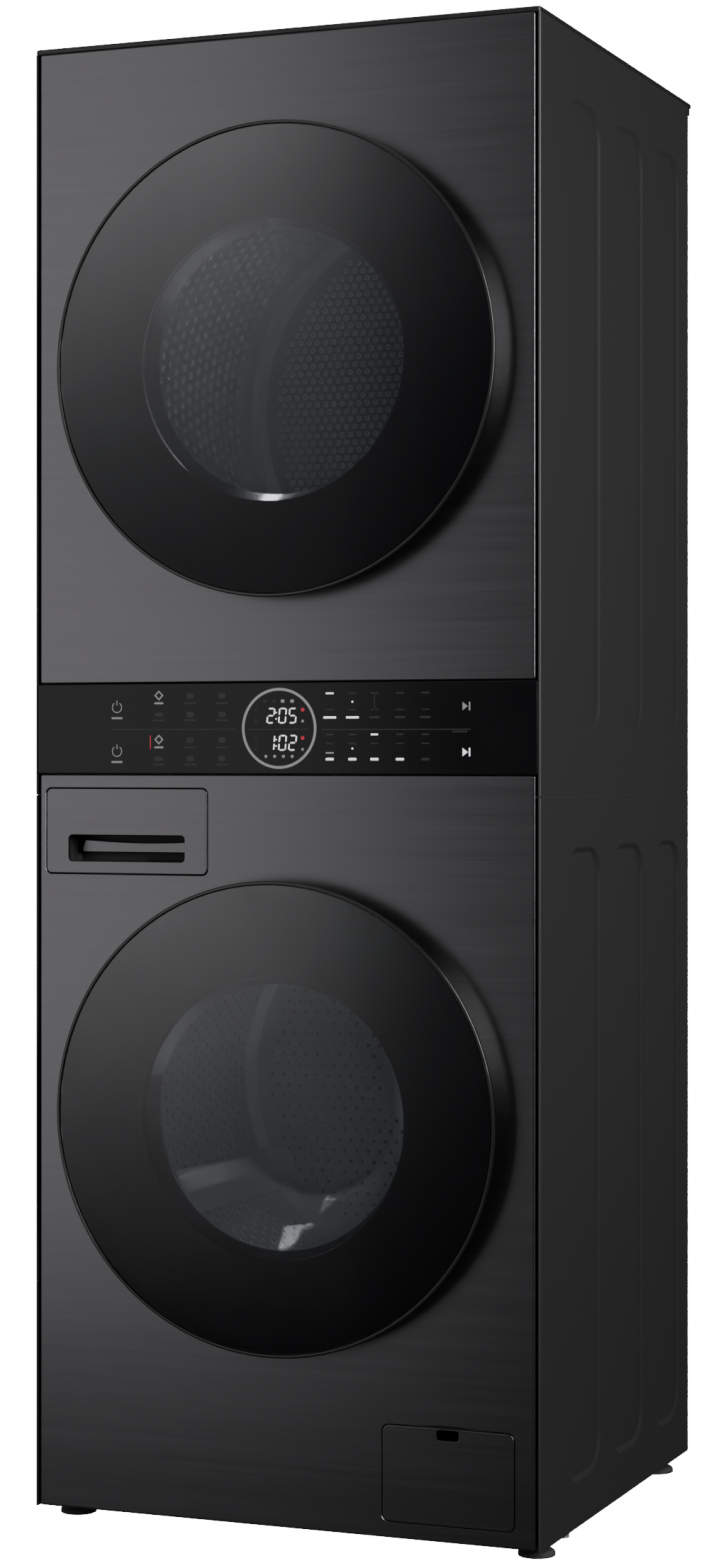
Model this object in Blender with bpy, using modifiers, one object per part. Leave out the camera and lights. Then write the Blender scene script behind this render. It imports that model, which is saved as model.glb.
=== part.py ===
"""Stacked laundry tower: a dryer over a front-loading washer in one slim cabinet.

Metres, +Z up, front towards -Y, +X to the right of someone who faces it. The origin is on
the floor at the middle of the whole body's plan.
"""

from math import asin, atan2, cos, hypot, pi, radians, sin, sqrt

import bmesh
import bpy
from mathutils import Matrix, Vector

# Whole machine
WIDTH = 0.600
HEIGHT = 1.655
FRONT = -0.300  # outer face of the front panels
SIDE_REAR = 0.258  # rear edge of the side panels
BULGE_REAR = 0.312  # rear covers
FITTING_REAR = 0.330  # hose threads, the rearmost pieces
FOOT_HEIGHT = 0.0175
SEAM_Z = 0.817  # joint between the two cabinets
BAND_LOW, BAND_HIGH = 0.8405, 0.9410  # control band
LID_LOW = 1.6495  # underside of the top cover
LID_REAR = 0.2730
LIP_LOW = 1.6410  # foot of the cover's rear lip
GAP = 0.0003

# Sheet metal
SHEET = 0.0012
HEM = 0.0032  # folded front corner of a side panel
PRESS_DEPTH = 0.0035
PRESS_CORNER = 0.040
PRESS_Y = ((-0.2126, -0.0892), (-0.0511, 0.0720), (0.1119, 0.2211))
WASHER_PRESS = (0.0490, 0.0550)  # flat height below and above the pressed fields
DRYER_PRESS = (0.0650, 0.0690)
PANEL_HALF = 0.2937  # half width of the front panels
RETURN_DEPTH = 0.0110

# Doors and drums
WASHER_Z, DRYER_Z = 0.4665, 1.2915  # heights of the two drum axes
DOOR_R = 0.2587
DOOR_FACE = -0.330
DOOR_BACK = -0.302
COVER_BACK = -0.3262
PORT_R = 0.205  # hole in a front panel behind a door
MOUTH_R = 0.172
HINGE_X, HINGE_Y = -0.245, -0.318
EAR_Z = 0.024  # hinge ears stand this far above and below the drum's axis
EAR_THICK = 0.008
PIN_R = 0.0035
TUB_R, TUB_WALL = 0.252, 0.008
TUB_SPLIT = -0.020
DRUM_R, DRUM_SHEET = 0.236, 0.0012
DRYER_DRUM_R = 0.260
SHAFT_R = 0.0128
BAFFLE_HEIGHT = 0.045

# Drawer, service door, feet
DRAWER_X = (-0.2854, -0.0876)
DRAWER_Z = (0.7295, 0.8243)
GRIP_X = (-0.2576, -0.1151)
GRIP_Z = (0.7430, 0.7725)
POCKET_REAR = -0.2700  # inner face of the pocket's back wall
LEDGE_LEFT, LEDGE_Z = -0.2510, (0.7530, 0.7650)
FILTER_X = (0.1196, 0.2699)
FILTER_Z = (0.0365, 0.1405)
FILTER_HINGE = (0.1948, -0.2996, 0.0375)  # a point on the service door's hinge line
CAP_X, CAP_Z = 0.195, 0.085
FOOT_X = 0.275
FOOT_Y = (-0.2405, 0.2050)
FOOT_R = 0.0205

# Dryer drive
MOTOR_X, MOTOR_Z = 0.170, 0.955
PULLEY_R = 0.018
ROLLER_R, ROLLER_X = 0.030, 0.150
ROLLER_Z = DRYER_Z - sqrt((DRYER_DRUM_R + ROLLER_R + GAP) ** 2 - ROLLER_X**2)

ROUND, HIDDEN_ROUND, SMALL_ROUND = 40, 28, 12
TO_Y = Matrix.Rotation(radians(-90), 4, "X")  # turns local Z to world +Y


def clear_scene():
    """Empties the file, whatever it opened with."""
    for obj in list(bpy.data.objects):
        bpy.data.objects.remove(obj, do_unlink=True)


clear_scene()
PARTS = bpy.data.collections.new("laundry_tower")
CUTTERS = bpy.data.collections.new("cutters")
for made in (PARTS, CUTTERS):
    bpy.context.scene.collection.children.link(made)


# Materials: colour, roughness, metallic, alpha
FINISHES = {
    "black_steel": ((0.065, 0.066, 0.068), 0.38, 0.9, 1.0),
    "side_steel": ((0.030, 0.030, 0.031), 0.45, 0.6, 1.0),
    "lid_plastic": ((0.012, 0.012, 0.013), 0.5, 0.0, 1.0),
    "control_glass": ((0.008, 0.008, 0.009), 0.08, 0.0, 1.0),
    "door_gloss": ((0.012, 0.012, 0.013), 0.15, 0.0, 1.0),
    "door_glass": ((0.05, 0.07, 0.07), 0.03, 0.0, 0.45),
    "gasket_rubber": ((0.10, 0.10, 0.105), 0.7, 0.0, 1.0),
    "drum_steel": ((0.60, 0.61, 0.62), 0.25, 1.0, 1.0),
    "galvanised": ((0.45, 0.46, 0.47), 0.5, 0.8, 1.0),
    "tub_plastic": ((0.32, 0.33, 0.34), 0.6, 0.0, 1.0),
    "light_plastic": ((0.55, 0.56, 0.57), 0.5, 0.0, 1.0),
    "dark_plastic": ((0.02, 0.02, 0.021), 0.5, 0.0, 1.0),
    "foot_rubber": ((0.05, 0.05, 0.05), 0.8, 0.0, 1.0),
    "concrete": ((0.35, 0.34, 0.32), 0.9, 0.0, 1.0),
    "copper": ((0.60, 0.30, 0.18), 0.4, 0.9, 1.0),
    "spring_steel": ((0.30, 0.30, 0.31), 0.35, 1.0, 1.0),
}


def finish_material(name):
    """The named finish as a Principled material, made once."""
    found = bpy.data.materials.get(name)
    if found:
        return found
    colour, rough, metal, alpha = FINISHES[name.split("__")[0]]
    made = bpy.data.materials.new(name)
    made.use_nodes = True
    shader = made.node_tree.nodes["Principled BSDF"]
    shader.inputs["Base Color"].default_value = (*colour, 1.0)
    shader.inputs["Roughness"].default_value = rough
    shader.inputs["Metallic"].default_value = metal
    shader.inputs["Alpha"].default_value = alpha
    made.diffuse_color = (*colour, alpha)
    return made


def add_object(name, mesh, finish, matrix=None):
    """Links a mesh as a part, or as a hidden helper when it has no finish."""
    obj = bpy.data.objects.new(name, mesh)
    if matrix is not None:
        obj.matrix_world = matrix
    if finish:
        PARTS.objects.link(obj)
        mesh.materials.clear()
        mesh.materials.append(finish_material(finish + "__" + name))
        mesh.shade_smooth()
        mesh.set_sharp_from_angle(angle=radians(30))
    else:
        CUTTERS.objects.link(obj)
        obj.hide_render = True
        obj.display_type = "WIRE"
    return obj


def box(name, low, high, finish=None, bevel=0.0):
    """A box from its lowest to its highest corner, with optional rounded edges."""
    low, high = Vector(low), Vector(high)
    shape = bmesh.new()
    bmesh.ops.create_cube(shape, size=1.0)
    bmesh.ops.scale(shape, vec=high - low, verts=shape.verts)
    bmesh.ops.translate(shape, vec=(low + high) / 2, verts=shape.verts)
    mesh = bpy.data.meshes.new(name)
    shape.to_mesh(mesh)
    shape.free()
    obj = add_object(name, mesh, finish)
    if bevel:
        modifier = obj.modifiers.new("edges", "BEVEL")
        modifier.width = bevel
        modifier.segments = 2
    return obj


def turned(name, profile, finish=None, matrix=None, steps=ROUND, closed=True):
    """A body of revolution about local Z from points of (radius, height)."""
    ends = profile + profile[:1]
    area = sum(a[0] * b[1] - b[0] * a[1] for a, b in zip(ends, ends[1:]))
    points = list(reversed(profile)) if area > 0 else list(profile)
    mesh = bpy.data.meshes.new(name)
    edges = [(i, i + 1) for i in range(len(points) - 1)]
    if closed:
        edges.append((len(points) - 1, 0))
    mesh.from_pydata([(r, 0.0, z) for r, z in points], edges, [])
    obj = add_object(name, mesh, finish, matrix)
    screw = obj.modifiers.new("turn", "SCREW")
    screw.steps = screw.render_steps = steps
    screw.use_merge_vertices = True
    screw.merge_threshold = 0.00005
    screw.use_smooth_shade = True
    return obj


def along_y(x, z, y=0.0):
    """Places a turned body with its axis along +Y through (x, z)."""
    return Matrix.Translation((x, y, z)) @ TO_Y


def circle(x, y, radius, count):
    """Points of a circle, anticlockwise."""
    turns = [2 * pi * i / count for i in range(count)]
    return [(x + radius * cos(t), y + radius * sin(t)) for t in turns]


def rounded_rect(low, high, radius, steps=4):
    """The outline of a rectangle whose corners are arcs."""
    points = []
    corners = ((high[0], high[1], 0), (low[0], high[1], 1), (low[0], low[1], 2), (high[0], low[1], 3))
    for x, y, quarter in corners:
        centre_x = x - radius if x == high[0] else x + radius
        centre_y = y - radius if y == high[1] else y + radius
        for step in range(steps + 1):
            turn = (quarter + step / steps) * pi / 2
            points.append((centre_x + radius * cos(turn), centre_y + radius * sin(turn)))
    return points


def extruded(name, outlines, depth, finish=None, matrix=None):
    """Flat outlines filled and thickened by depth, centred on local Z = 0, made a mesh."""
    curve = bpy.data.curves.new(name, "CURVE")
    curve.dimensions = "2D"
    curve.fill_mode = "BOTH"
    curve.extrude = depth / 2
    for outline in outlines:
        spline = curve.splines.new("POLY")
        spline.points.add(len(outline) - 1)
        for point, (x, y) in zip(spline.points, outline):
            point.co = (x, y, 0.0, 1.0)
        spline.use_cyclic_u = True
    guide = bpy.data.objects.new(name + "_outline", curve)
    CUTTERS.objects.link(guide)
    graph = bpy.context.evaluated_depsgraph_get()
    mesh = bpy.data.meshes.new_from_object(guide.evaluated_get(graph))
    bpy.data.objects.remove(guide, do_unlink=True)
    shape = bmesh.new()
    shape.from_mesh(mesh)
    bmesh.ops.remove_doubles(shape, verts=shape.verts, dist=0.00002)
    bmesh.ops.recalc_face_normals(shape, faces=shape.faces)
    shape.to_mesh(mesh)
    shape.free()
    return add_object(name, mesh, finish, matrix)


def facing_front(y):
    """Places an outline drawn in (x, z) as a plate whose middle is at y."""
    return Matrix.Translation((0, y, 0)) @ Matrix.Rotation(radians(90), 4, "X")


def facing_side(x):
    """Places an outline drawn in (y, z) as a plate whose middle is at x."""
    return Matrix(((0, 0, 1, x), (1, 0, 0, 0), (0, 1, 0, 0), (0, 0, 0, 1)))


def combine(obj, others, operation):
    """Adds one Boolean modifier for each other object."""
    for other in others:
        modifier = obj.modifiers.new(other.name, "BOOLEAN")
        modifier.operation = operation
        modifier.object = other
        modifier.solver = "EXACT"


def cut(obj, *others):
    """Takes the others away from obj."""
    combine(obj, others, "DIFFERENCE")


def join(obj, *others):
    """Welds the others to obj."""
    combine(obj, others, "UNION")


def tube(name, points, radius, finish, sides=1):
    """A round wire through the given points."""
    curve = bpy.data.curves.new(name, "CURVE")
    curve.dimensions = "3D"
    curve.bevel_depth = radius
    curve.bevel_resolution = sides
    curve.use_fill_caps = True
    spline = curve.splines.new("POLY")
    spline.points.add(len(points) - 1)
    for point, place in zip(spline.points, points):
        point.co = (*place, 1.0)
    obj = bpy.data.objects.new(name, curve)
    PARTS.objects.link(obj)
    curve.materials.append(finish_material(finish + "__" + name))
    return obj


# Cabinet


def side_outline(mirror):
    """Plan of a side panel: hemmed front corner, inward flanges front and rear."""
    outer, inner = WIDTH / 2, WIDTH / 2 - SHEET
    hem_x = outer - HEM
    arc = [radians(a) for a in (0, -30, -60, -90)]
    corner = [(hem_x + HEM * cos(a), FRONT + 0.0002 + HEM + HEM * sin(a)) for a in arc]
    points = [(outer, SIDE_REAR), *corner, (hem_x, -0.2880), (0.2885, -0.2880)]
    points += [(0.2885, -0.2868), (inner, -0.2868), (inner, SIDE_REAR - SHEET)]
    points += [(0.2700, SIDE_REAR - SHEET), (0.2700, SIDE_REAR)]
    return [(x * mirror, y) for x, y in points]


def press_outlines(low, high, grow):
    """Three upright rounded outlines in (y, z), grown by the given margin."""
    corner = PRESS_CORNER + grow
    return [
        rounded_rect((y0 - grow, low - grow), (y1 + grow, high + grow), corner, 3)
        for y0, y1 in PRESS_Y
    ]


def side_panel(name, mirror, low, high, margins):
    """A bent side panel with three fields pressed into it."""
    middle = Matrix.Translation((0, 0, (low + high) / 2))
    panel = extruded(name, [side_outline(mirror)], high - low, "side_steel", middle)
    span = (low + margins[0], high - margins[1])
    skin = WIDTH / 2 - 0.0005
    back = WIDTH / 2 - PRESS_DEPTH - SHEET
    pad_x = mirror * (skin + back) / 2
    raised, sunk = press_outlines(*span, SHEET), press_outlines(*span, 0.0)
    pads = extruded(name + "_pads", raised, skin - back, None, facing_side(pad_x))
    hole_low = WIDTH / 2 - PRESS_DEPTH
    hole_x = mirror * (hole_low + WIDTH / 2 + 0.002) / 2
    depth = WIDTH / 2 + 0.002 - hole_low
    hollows = extruded(name + "_hollows", sunk, depth, None, facing_side(hole_x))
    join(panel, pads)
    cut(panel, hollows)


def pin(name, radius, low, high, matrix, steps=SMALL_ROUND, finish=None):
    """A plain cylinder about local Z, from low to high."""
    profile = [(0, high), (radius, high), (radius, low), (0, low)]
    return turned(name, profile, finish, matrix, steps, False)


def base_pan():
    """The open tray that the feet screw into, with a jacking pad at the right."""
    low, high = (-0.2980, -0.2860, FOOT_HEIGHT), (0.2980, 0.2560, 0.0500)
    pan = box("base_pan", low, high, "galvanised")
    wall = 0.0020
    inner_low = [value + wall for value in low]
    cut(pan, box("pan_hollow", inner_low, (high[0] - wall, high[1] - wall, high[2] + 0.01)))
    for x in (-FOOT_X, FOOT_X):
        for y in FOOT_Y:
            cut(pan, pin("stem_hole", 0.0065, 0, 0.06, Matrix.Translation((x, y, 0))))
    join(pan, pin("jack_pad", 0.008, 0.007, 0.019, Matrix.Translation((0.284, -0.180, 0))))


def leveling_foot(name, x, y):
    """A screw foot: pad, nut and stem."""
    profile = [
        (0, 0.045), (0.005, 0.045), (0.005, 0.0165), (0.010, 0.0165), (0.010, 0.0100),
        (0.0065, 0.0085), (0.018, 0.0070), (FOOT_R, 0.0040), (FOOT_R, 0), (0, 0),
    ]
    turned(name, profile, "foot_rubber", Matrix.Translation((x, y, 0)), 14, False)


def front_plan():
    """Plan of a front panel: a thin plate with a short return at each side."""
    x, y = PANEL_HALF, FRONT
    back = FRONT + RETURN_DEPTH
    points = [(-x, y), (x, y), (x, back), (x - SHEET, back), (x - SHEET, y + SHEET)]
    return points + [(SHEET - x, y + SHEET), (SHEET - x, back), (-x, back)]


def front_panel(name, low, high, axis_z):
    """A front panel with a round port and a slot for the door's latch."""
    middle = Matrix.Translation((0, 0, (low + high) / 2))
    panel = extruded(name, [front_plan()], high - low, "black_steel", middle)
    cut(panel, pin(name + "_port", PORT_R, -0.02, 0.02, along_y(0, axis_z, FRONT), ROUND))
    slot_low = (0.221, FRONT - 0.01, axis_z - 0.014)
    slot_high = (0.238, FRONT + 0.01, axis_z + 0.014)
    cut(panel, box(name + "_latch_slot", slot_low, slot_high))
    return panel


def washer_front_panel():
    """The lower front, with openings for the drawer and the service door."""
    panel = front_panel("washer_front_panel", 0.0185, BAND_LOW - 0.0005, WASHER_Z)
    slack = 0.0008
    openings = (("drawer_hole", DRAWER_X, DRAWER_Z, 0.0068), ("hatch_hole", FILTER_X, FILTER_Z, 0.0085))
    for name, across, up, corner in openings:
        low, high = (across[0] - slack, up[0] - slack), (across[1] + slack, up[1] + slack)
        outline = rounded_rect(low, high, corner)
        cut(panel, extruded(name, [outline], 0.03, None, facing_front(FRONT)))


def rear_panel(name, low, high, half, bulge_low, bulge_high):
    """A flat rear cover with a hollow bulge that makes room for the drive."""
    face = SIDE_REAR + GAP
    panel = box(name, (-0.2975, face, low), (0.2975, face + SHEET, high), "galvanised")
    rounding = 0.012
    start = face - rounding - 0.004
    shell_low, shell_high = (-half, start, bulge_low), (half, BULGE_REAR, bulge_high)
    join(panel, box(name + "_bulge", shell_low, shell_high, None, rounding))
    inner_low = (SHEET - half, start - rounding, bulge_low + SHEET)
    inner_high = (half - SHEET, BULGE_REAR - SHEET, bulge_high - SHEET)
    cut(panel, box(name + "_hollow", inner_low, inner_high, None, 0.010))
    return panel


def washer_rear_panel():
    """The lower rear cover, with the inlet valve's hole and the drain spigot."""
    panel = rear_panel("washer_rear_panel", 0.0200, SEAM_Z - 0.0010, 0.215, 0.100, 0.700)
    cut(panel, box("valve_hole", (-0.158, 0.24, 0.747), (-0.062, 0.28, 0.793)))
    place = along_y(0.230, 0.760)
    join(panel, pin("drain_spigot", 0.014, 0.2590, 0.3250, place))
    cut(panel, pin("drain_bore", 0.0105, 0.24, 0.34, place))


def dryer_rear_panel():
    """The upper rear cover, with six air slots."""
    panel = rear_panel("dryer_rear_panel", SEAM_Z + 0.0005, LID_LOW - 0.0010, 0.235, 0.900, 1.560)
    for index in range(6):
        z = 1.10 + 0.05 * index
        low, high = (-0.12, BULGE_REAR - 0.01, z), (0.12, BULGE_REAR + 0.01, z + 0.012)
        cut(panel, box("louvre", low, high))


def top_cover():
    """The thin cover, hollow below, with a lip that hangs behind the rear panel."""
    low, high = (-WIDTH / 2, FRONT, LID_LOW), (WIDTH / 2, LID_REAR, HEIGHT)
    lid = box("top_cover", low, high, "lid_plastic", 0.0022)
    cut(lid, box("lid_hollow", (-0.290, -0.290, LID_LOW - 0.01), (0.290, 0.262, LID_LOW + 0.003)))
    lip_low, lip_high = (-0.2975, LID_REAR - 0.0030, LIP_LOW), (0.2975, LID_REAR - 0.0002, LID_LOW + 0.002)
    join(lid, box("rear_lip", lip_low, lip_high))


def dryer_base():
    """The tray under the dryer's drive."""
    low, high = (-0.2940, -0.2850, 0.8320), (0.2940, 0.2560, 0.8620)
    tray = box("dryer_base", low, high, "galvanised")
    wall = 0.0016
    inner_low = [value + wall for value in low]
    cut(tray, box("tray_hollow", inner_low, (high[0] - wall, high[1] - wall, high[2] + 0.01)))


def control_panel():
    """The hollow band between the two front panels."""
    depth_end = -0.2885
    low, high = (-0.2965, FRONT - 0.001, BAND_LOW), (0.2965, depth_end, BAND_HIGH)
    panel = box("control_panel", low, high, "control_glass", 0.0012)
    wall = 0.0025
    inner_low = [value + wall for value in low]
    cut(panel, box("band_hollow", inner_low, (high[0] - wall, depth_end + 0.01, high[2] - wall)))


# Washer


def washer_tub():
    """The two tub halves and the ring weight on the front one."""
    inner = TUB_R - TUB_WALL
    front = [
        (TUB_R, -0.240), (TUB_R, TUB_SPLIT - 0.0005), (inner, TUB_SPLIT - 0.0005), (inner, -0.232),
        (0.1803, -0.232), (0.1803, -0.262), (0.1845, -0.262), (0.1845, -0.240),
    ]
    turned("tub_front_half", front, "tub_plastic", along_y(0, WASHER_Z), 32)
    rear = [
        (TUB_R, TUB_SPLIT), (TUB_R, 0.190), (0.045, 0.190), (0.045, 0.206), (0.0265, 0.206),
        (0.0265, 0.172), (0.040, 0.172), (0.040, 0.180), (inner, 0.180), (inner, TUB_SPLIT),
    ]
    tub = turned("tub_rear_half", rear, "tub_plastic", along_y(0, WASHER_Z), HIDDEN_ROUND)
    for side in (-1, 1):
        ends = sorted((side * 0.205, side * 0.228))
        join(tub, box("spring_ear", (ends[0], 0.004, 0.590), (ends[1], 0.016, 0.655)))
    weight = [(0.190, -0.284), (0.248, -0.284), (0.248, -0.2405), (0.190, -0.2405)]
    turned("tub_counterweight", weight, "concrete", along_y(0, WASHER_Z), HIDDEN_ROUND)


def washer_drum():
    """The washing drum, closed at the rear, with an inward lip at its mouth."""
    inner = DRUM_R - DRUM_SHEET
    lip = 0.178
    profile = [
        (0, 0.150), (DRUM_R - 0.012, 0.150), (DRUM_R, 0.138), (DRUM_R, -0.225), (lip, -0.225),
        (lip, -0.2238), (inner, -0.2238), (inner, 0.1375), (inner - 0.011, 0.1488), (0, 0.1488),
    ]
    turned("washer_drum", profile, "drum_steel", along_y(0, WASHER_Z), ROUND, False)


def baffle_outline(base, height, foot, tip):
    """A paddle's cross-section, whose foot is base away from the axis."""
    return [(-foot, -base), (foot, -base), (tip, height - base), (-tip, height - base)]


def lying_along_y(x, y, z, turn_by):
    """Places an outline drawn about an axis along Y, turned round that axis."""
    upright = Matrix.Rotation(radians(90), 4, "X")
    return Matrix.Translation((x, y, z)) @ upright @ Matrix.Rotation(turn_by, 4, "Z")


def washer_baffles():
    """Three paddles inside the washing drum."""
    outline = baffle_outline(0.2313, BAFFLE_HEIGHT, 0.030, 0.012)
    for index in range(3):
        matrix = lying_along_y(0, -0.035, WASHER_Z, 2 * pi * index / 3)
        name = f"washer_baffle_{index + 1}"
        baffle = extruded(name, [outline], 0.330, "light_plastic", matrix)
        soften = baffle.modifiers.new("edges", "BEVEL")
        soften.width = 0.004
        soften.segments = 1


def drum_spider():
    """The three-armed carrier behind the washing drum, with its shaft."""
    profile = [
        (0, 0.232), (0.010, 0.232), (SHAFT_R, 0.229), (SHAFT_R, 0.1715), (0.032, 0.1715),
        (0.032, 0.1505), (0, 0.1505),
    ]
    spider = turned("drum_spider", profile, "galvanised", along_y(0, WASHER_Z), 20, False)
    for index in range(3):
        arm = box("spider_arm", (-0.016, -0.212, -0.1685), (0.016, -0.010, -0.1507))
        arm.matrix_world = lying_along_y(0, 0, WASHER_Z, 2 * pi * (index + 0.5) / 3)
        join(spider, arm)


def washer_drive():
    """The shaft's bearing and the direct-drive motor's stator and rotor."""
    bearing = [(0.0131, 0.174), (0.0262, 0.174), (0.0262, 0.204), (0.0131, 0.204)]
    turned("drum_bearing", bearing, "spring_steel", along_y(0, WASHER_Z), 16)
    stator = [(0.060, 0.1905), (0.120, 0.1905), (0.120, 0.208), (0.060, 0.208)]
    turned("motor_stator", stator, "copper", along_y(0, WASHER_Z), 24)
    rotor = [
        (0.134, 0.1925), (0.134, 0.2155), (0.0131, 0.2155), (0.0131, 0.2065), (0.024, 0.2065),
        (0.024, 0.212), (0.124, 0.212), (0.124, 0.1925),
    ]
    turned("motor_rotor", rotor, "galvanised", along_y(0, WASHER_Z), 24)


def tub_spring(label, x, y):
    """A coil spring between the tub's ear and the top of the washer's case."""
    coils, per_turn, coil_r = 5, 8, 0.014
    low, high = 0.668, 0.812
    rise = (high - low) / (coils * per_turn)
    helix = []
    for step in range(coils * per_turn + 1):
        turn_by = 2 * pi * step / per_turn
        helix.append((x + coil_r * cos(turn_by), y + coil_r * sin(turn_by), low + rise * step))
    points = [(x, y, low - 0.010), (x, y, low), *helix, (x, y, high + 0.006), (x, y, high + 0.016)]
    tube(f"tub_spring_{label}", points, 0.0016, "spring_steel", 0)


def tub_damper(label, foot, head):
    """A friction damper: a thick cylinder with a rod out of its upper end."""
    length = (head - foot).length
    body = length * 0.58
    profile = [
        (0, length), (0.008, length), (0.008, length - 0.012), (0.0045, length - 0.014),
        (0.0045, body), (0.014, body), (0.014, 0.022), (0.008, 0.020), (0.008, 0.004), (0, 0.004),
    ]
    aim = (head - foot).to_track_quat("Z", "Y").to_matrix().to_4x4()
    turned(f"tub_damper_{label}", profile, "dark_plastic", Matrix.Translation(foot) @ aim, 12, False)


def washer_suspension():
    """Two springs above the tub and two dampers below it."""
    middle = 0.010
    for side, label in ((-1, "left"), (1, "right")):
        tub_spring(label, side * 0.2165, middle)
        tub_damper(label, Vector((side * 0.222, middle, 0.0205)), Vector((side * 0.160, middle, 0.250)))


def washer_gasket():
    """The rubber ring between the front panel and the tub's mouth."""
    profile = [
        (0.2035, -0.2983), (0.2035, -0.2945), (0.1795, -0.2925), (0.1795, -0.2360), (0.1740, -0.2360),
        (0.1740, -0.2890), (0.1580, -0.2890), (0.1600, -0.2983),
    ]
    turned("washer_door_gasket", profile, "gasket_rubber", along_y(0, WASHER_Z), 32)


def drain_pump():
    """The pump in the base and the cap of its filter."""
    profile = [
        (0, -0.150), (0.026, -0.150), (0.026, -0.200), (0.034, -0.205), (0.034, -0.2610), (0, -0.2610),
    ]
    pump = turned("drain_pump", profile, "dark_plastic", along_y(CAP_X, CAP_Z), 20, False)
    join(pump, box("pump_foot", (CAP_X - 0.02, -0.245, 0.0200), (CAP_X + 0.02, -0.165, CAP_Z)))
    join(pump, pin("pump_spout", 0.010, CAP_Z, 0.165, Matrix.Translation((CAP_X, -0.225, 0))))
    cap = [
        (0, -0.2616), (0.026, -0.2616), (0.030, -0.266), (0.030, -0.282), (0.027, -0.284), (0, -0.284),
    ]
    lid = turned("drain_filter_cap", cap, "light_plastic", along_y(CAP_X, CAP_Z), 24, False)
    grip_low, grip_high = (CAP_X - 0.004, -0.2905, CAP_Z - 0.023), (CAP_X + 0.004, -0.280, CAP_Z + 0.023)
    join(lid, box("cap_grip", grip_low, grip_high))


def filter_door():
    """The small door over the drain filter, with a rim behind it and a finger notch."""
    low, high = (FILTER_X[0], FILTER_Z[0]), (FILTER_X[1], FILTER_Z[1])
    thick, wall, corner = 0.0016, 0.0016, 0.006
    plate = [rounded_rect(low, high, 0.008)]
    door = extruded("filter_door", plate, thick, "black_steel", facing_front(FRONT + thick / 2))
    rim_low, rim_high = (low[0] + 0.010, low[1] + 0.014), (high[0] - 0.010, high[1] - 0.016)
    inner_low, inner_high = [value + wall for value in rim_low], [value - wall for value in rim_high]
    rim = [rounded_rect(rim_low, rim_high, corner, 2), rounded_rect(inner_low, inner_high, corner - wall, 2)]
    join(door, extruded("hatch_rim", rim, 0.006, None, facing_front(FRONT + 0.0042)))
    centre, half = (low[0] + high[0]) / 2, 0.0125
    notch_low = (centre - half, FRONT - 0.01, high[1] - 0.0125)
    cut(door, box("finger_notch", notch_low, (centre + half, -0.28, high[1] - 0.0015)))


def dispenser():
    """The drawer's housing and the tray with its three wells."""
    low, high = (-0.2830, -0.2910, 0.7290), (-0.0900, -0.0600, 0.8270)
    wall = 0.0020
    housing = box("dispenser_housing", low, high, "light_plastic")
    hollow_low = (low[0] + wall, low[1] - 0.01, low[2] + wall)
    cut(housing, box("housing_hollow", hollow_low, [value - wall for value in high]))
    tray_low, tray_high = (-0.2785, -0.2663, 0.7345), (-0.0945, -0.0700, 0.8050)
    tray = box("detergent_drawer", tray_low, tray_high, "light_plastic")
    split_x, split_y = -0.1620, -0.1500
    top = tray_high[2] + 0.01
    wells = (
        ((tray_low[0] + wall, tray_low[1] + wall), (split_x - 0.001, tray_high[1] - wall)),
        ((split_x + 0.001, tray_low[1] + wall), (tray_high[0] - wall, split_y - 0.001)),
        ((split_x + 0.001, split_y + 0.001), (tray_high[0] - wall, tray_high[1] - wall)),
    )
    for start, end in wells:
        cut(tray, box("well", (*start, tray_low[2] + wall), (*end, top)))


def drawer_front():
    """The drawer's front with a finger pocket, whose back wall carries a ledge."""
    thick, margin, reach = 0.008, 0.0040, 0.040
    outline = [rounded_rect((DRAWER_X[0], DRAWER_Z[0]), (DRAWER_X[1], DRAWER_Z[1]), 0.0063)]
    place = facing_front(FRONT + thick / 2)
    front = extruded("detergent_drawer_front", outline, thick, "black_steel", place)
    pocket_low = (GRIP_X[0] - margin, FRONT + thick - 0.001, GRIP_Z[0] - margin)
    pocket_high = (GRIP_X[1] + margin, POCKET_REAR + 0.002, GRIP_Z[1] + margin)
    join(front, box("grip_pocket", pocket_low, pocket_high))
    slot = [rounded_rect((GRIP_X[0], GRIP_Z[0]), (GRIP_X[1], GRIP_Z[1]), 0.004)]
    cut(front, extruded("grip_slot", slot, reach, None, facing_front(POCKET_REAR - reach / 2)))
    ledge_low = (LEDGE_LEFT, POCKET_REAR - 0.009, LEDGE_Z[0])
    ledge_high = (GRIP_X[1] + margin / 2, POCKET_REAR + 0.001, LEDGE_Z[1])
    join(front, box("grip_ledge", ledge_low, ledge_high))


def water_inlet_valve():
    """The valve block with two threaded necks for the water hoses."""
    low, high = (-0.155, 0.215, 0.750), (-0.065, 0.286, 0.790)
    valve = box("water_inlet_valve", low, high, "light_plastic", 0.003)
    thread = [
        (0, FITTING_REAR), (0.0110, FITTING_REAR), (0.0125, 0.328), (0.0125, 0.296), (0.010, 0.294),
        (0.010, 0.280), (0, 0.280),
    ]
    for x in (-0.132, -0.088):
        join(valve, turned("hose_thread", thread, None, along_y(x, 0.770), 16, False))
        cut(valve, pin("thread_mouth", 0.0085, 0.326, 0.34, along_y(x, 0.770)))


# Doors


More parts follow.
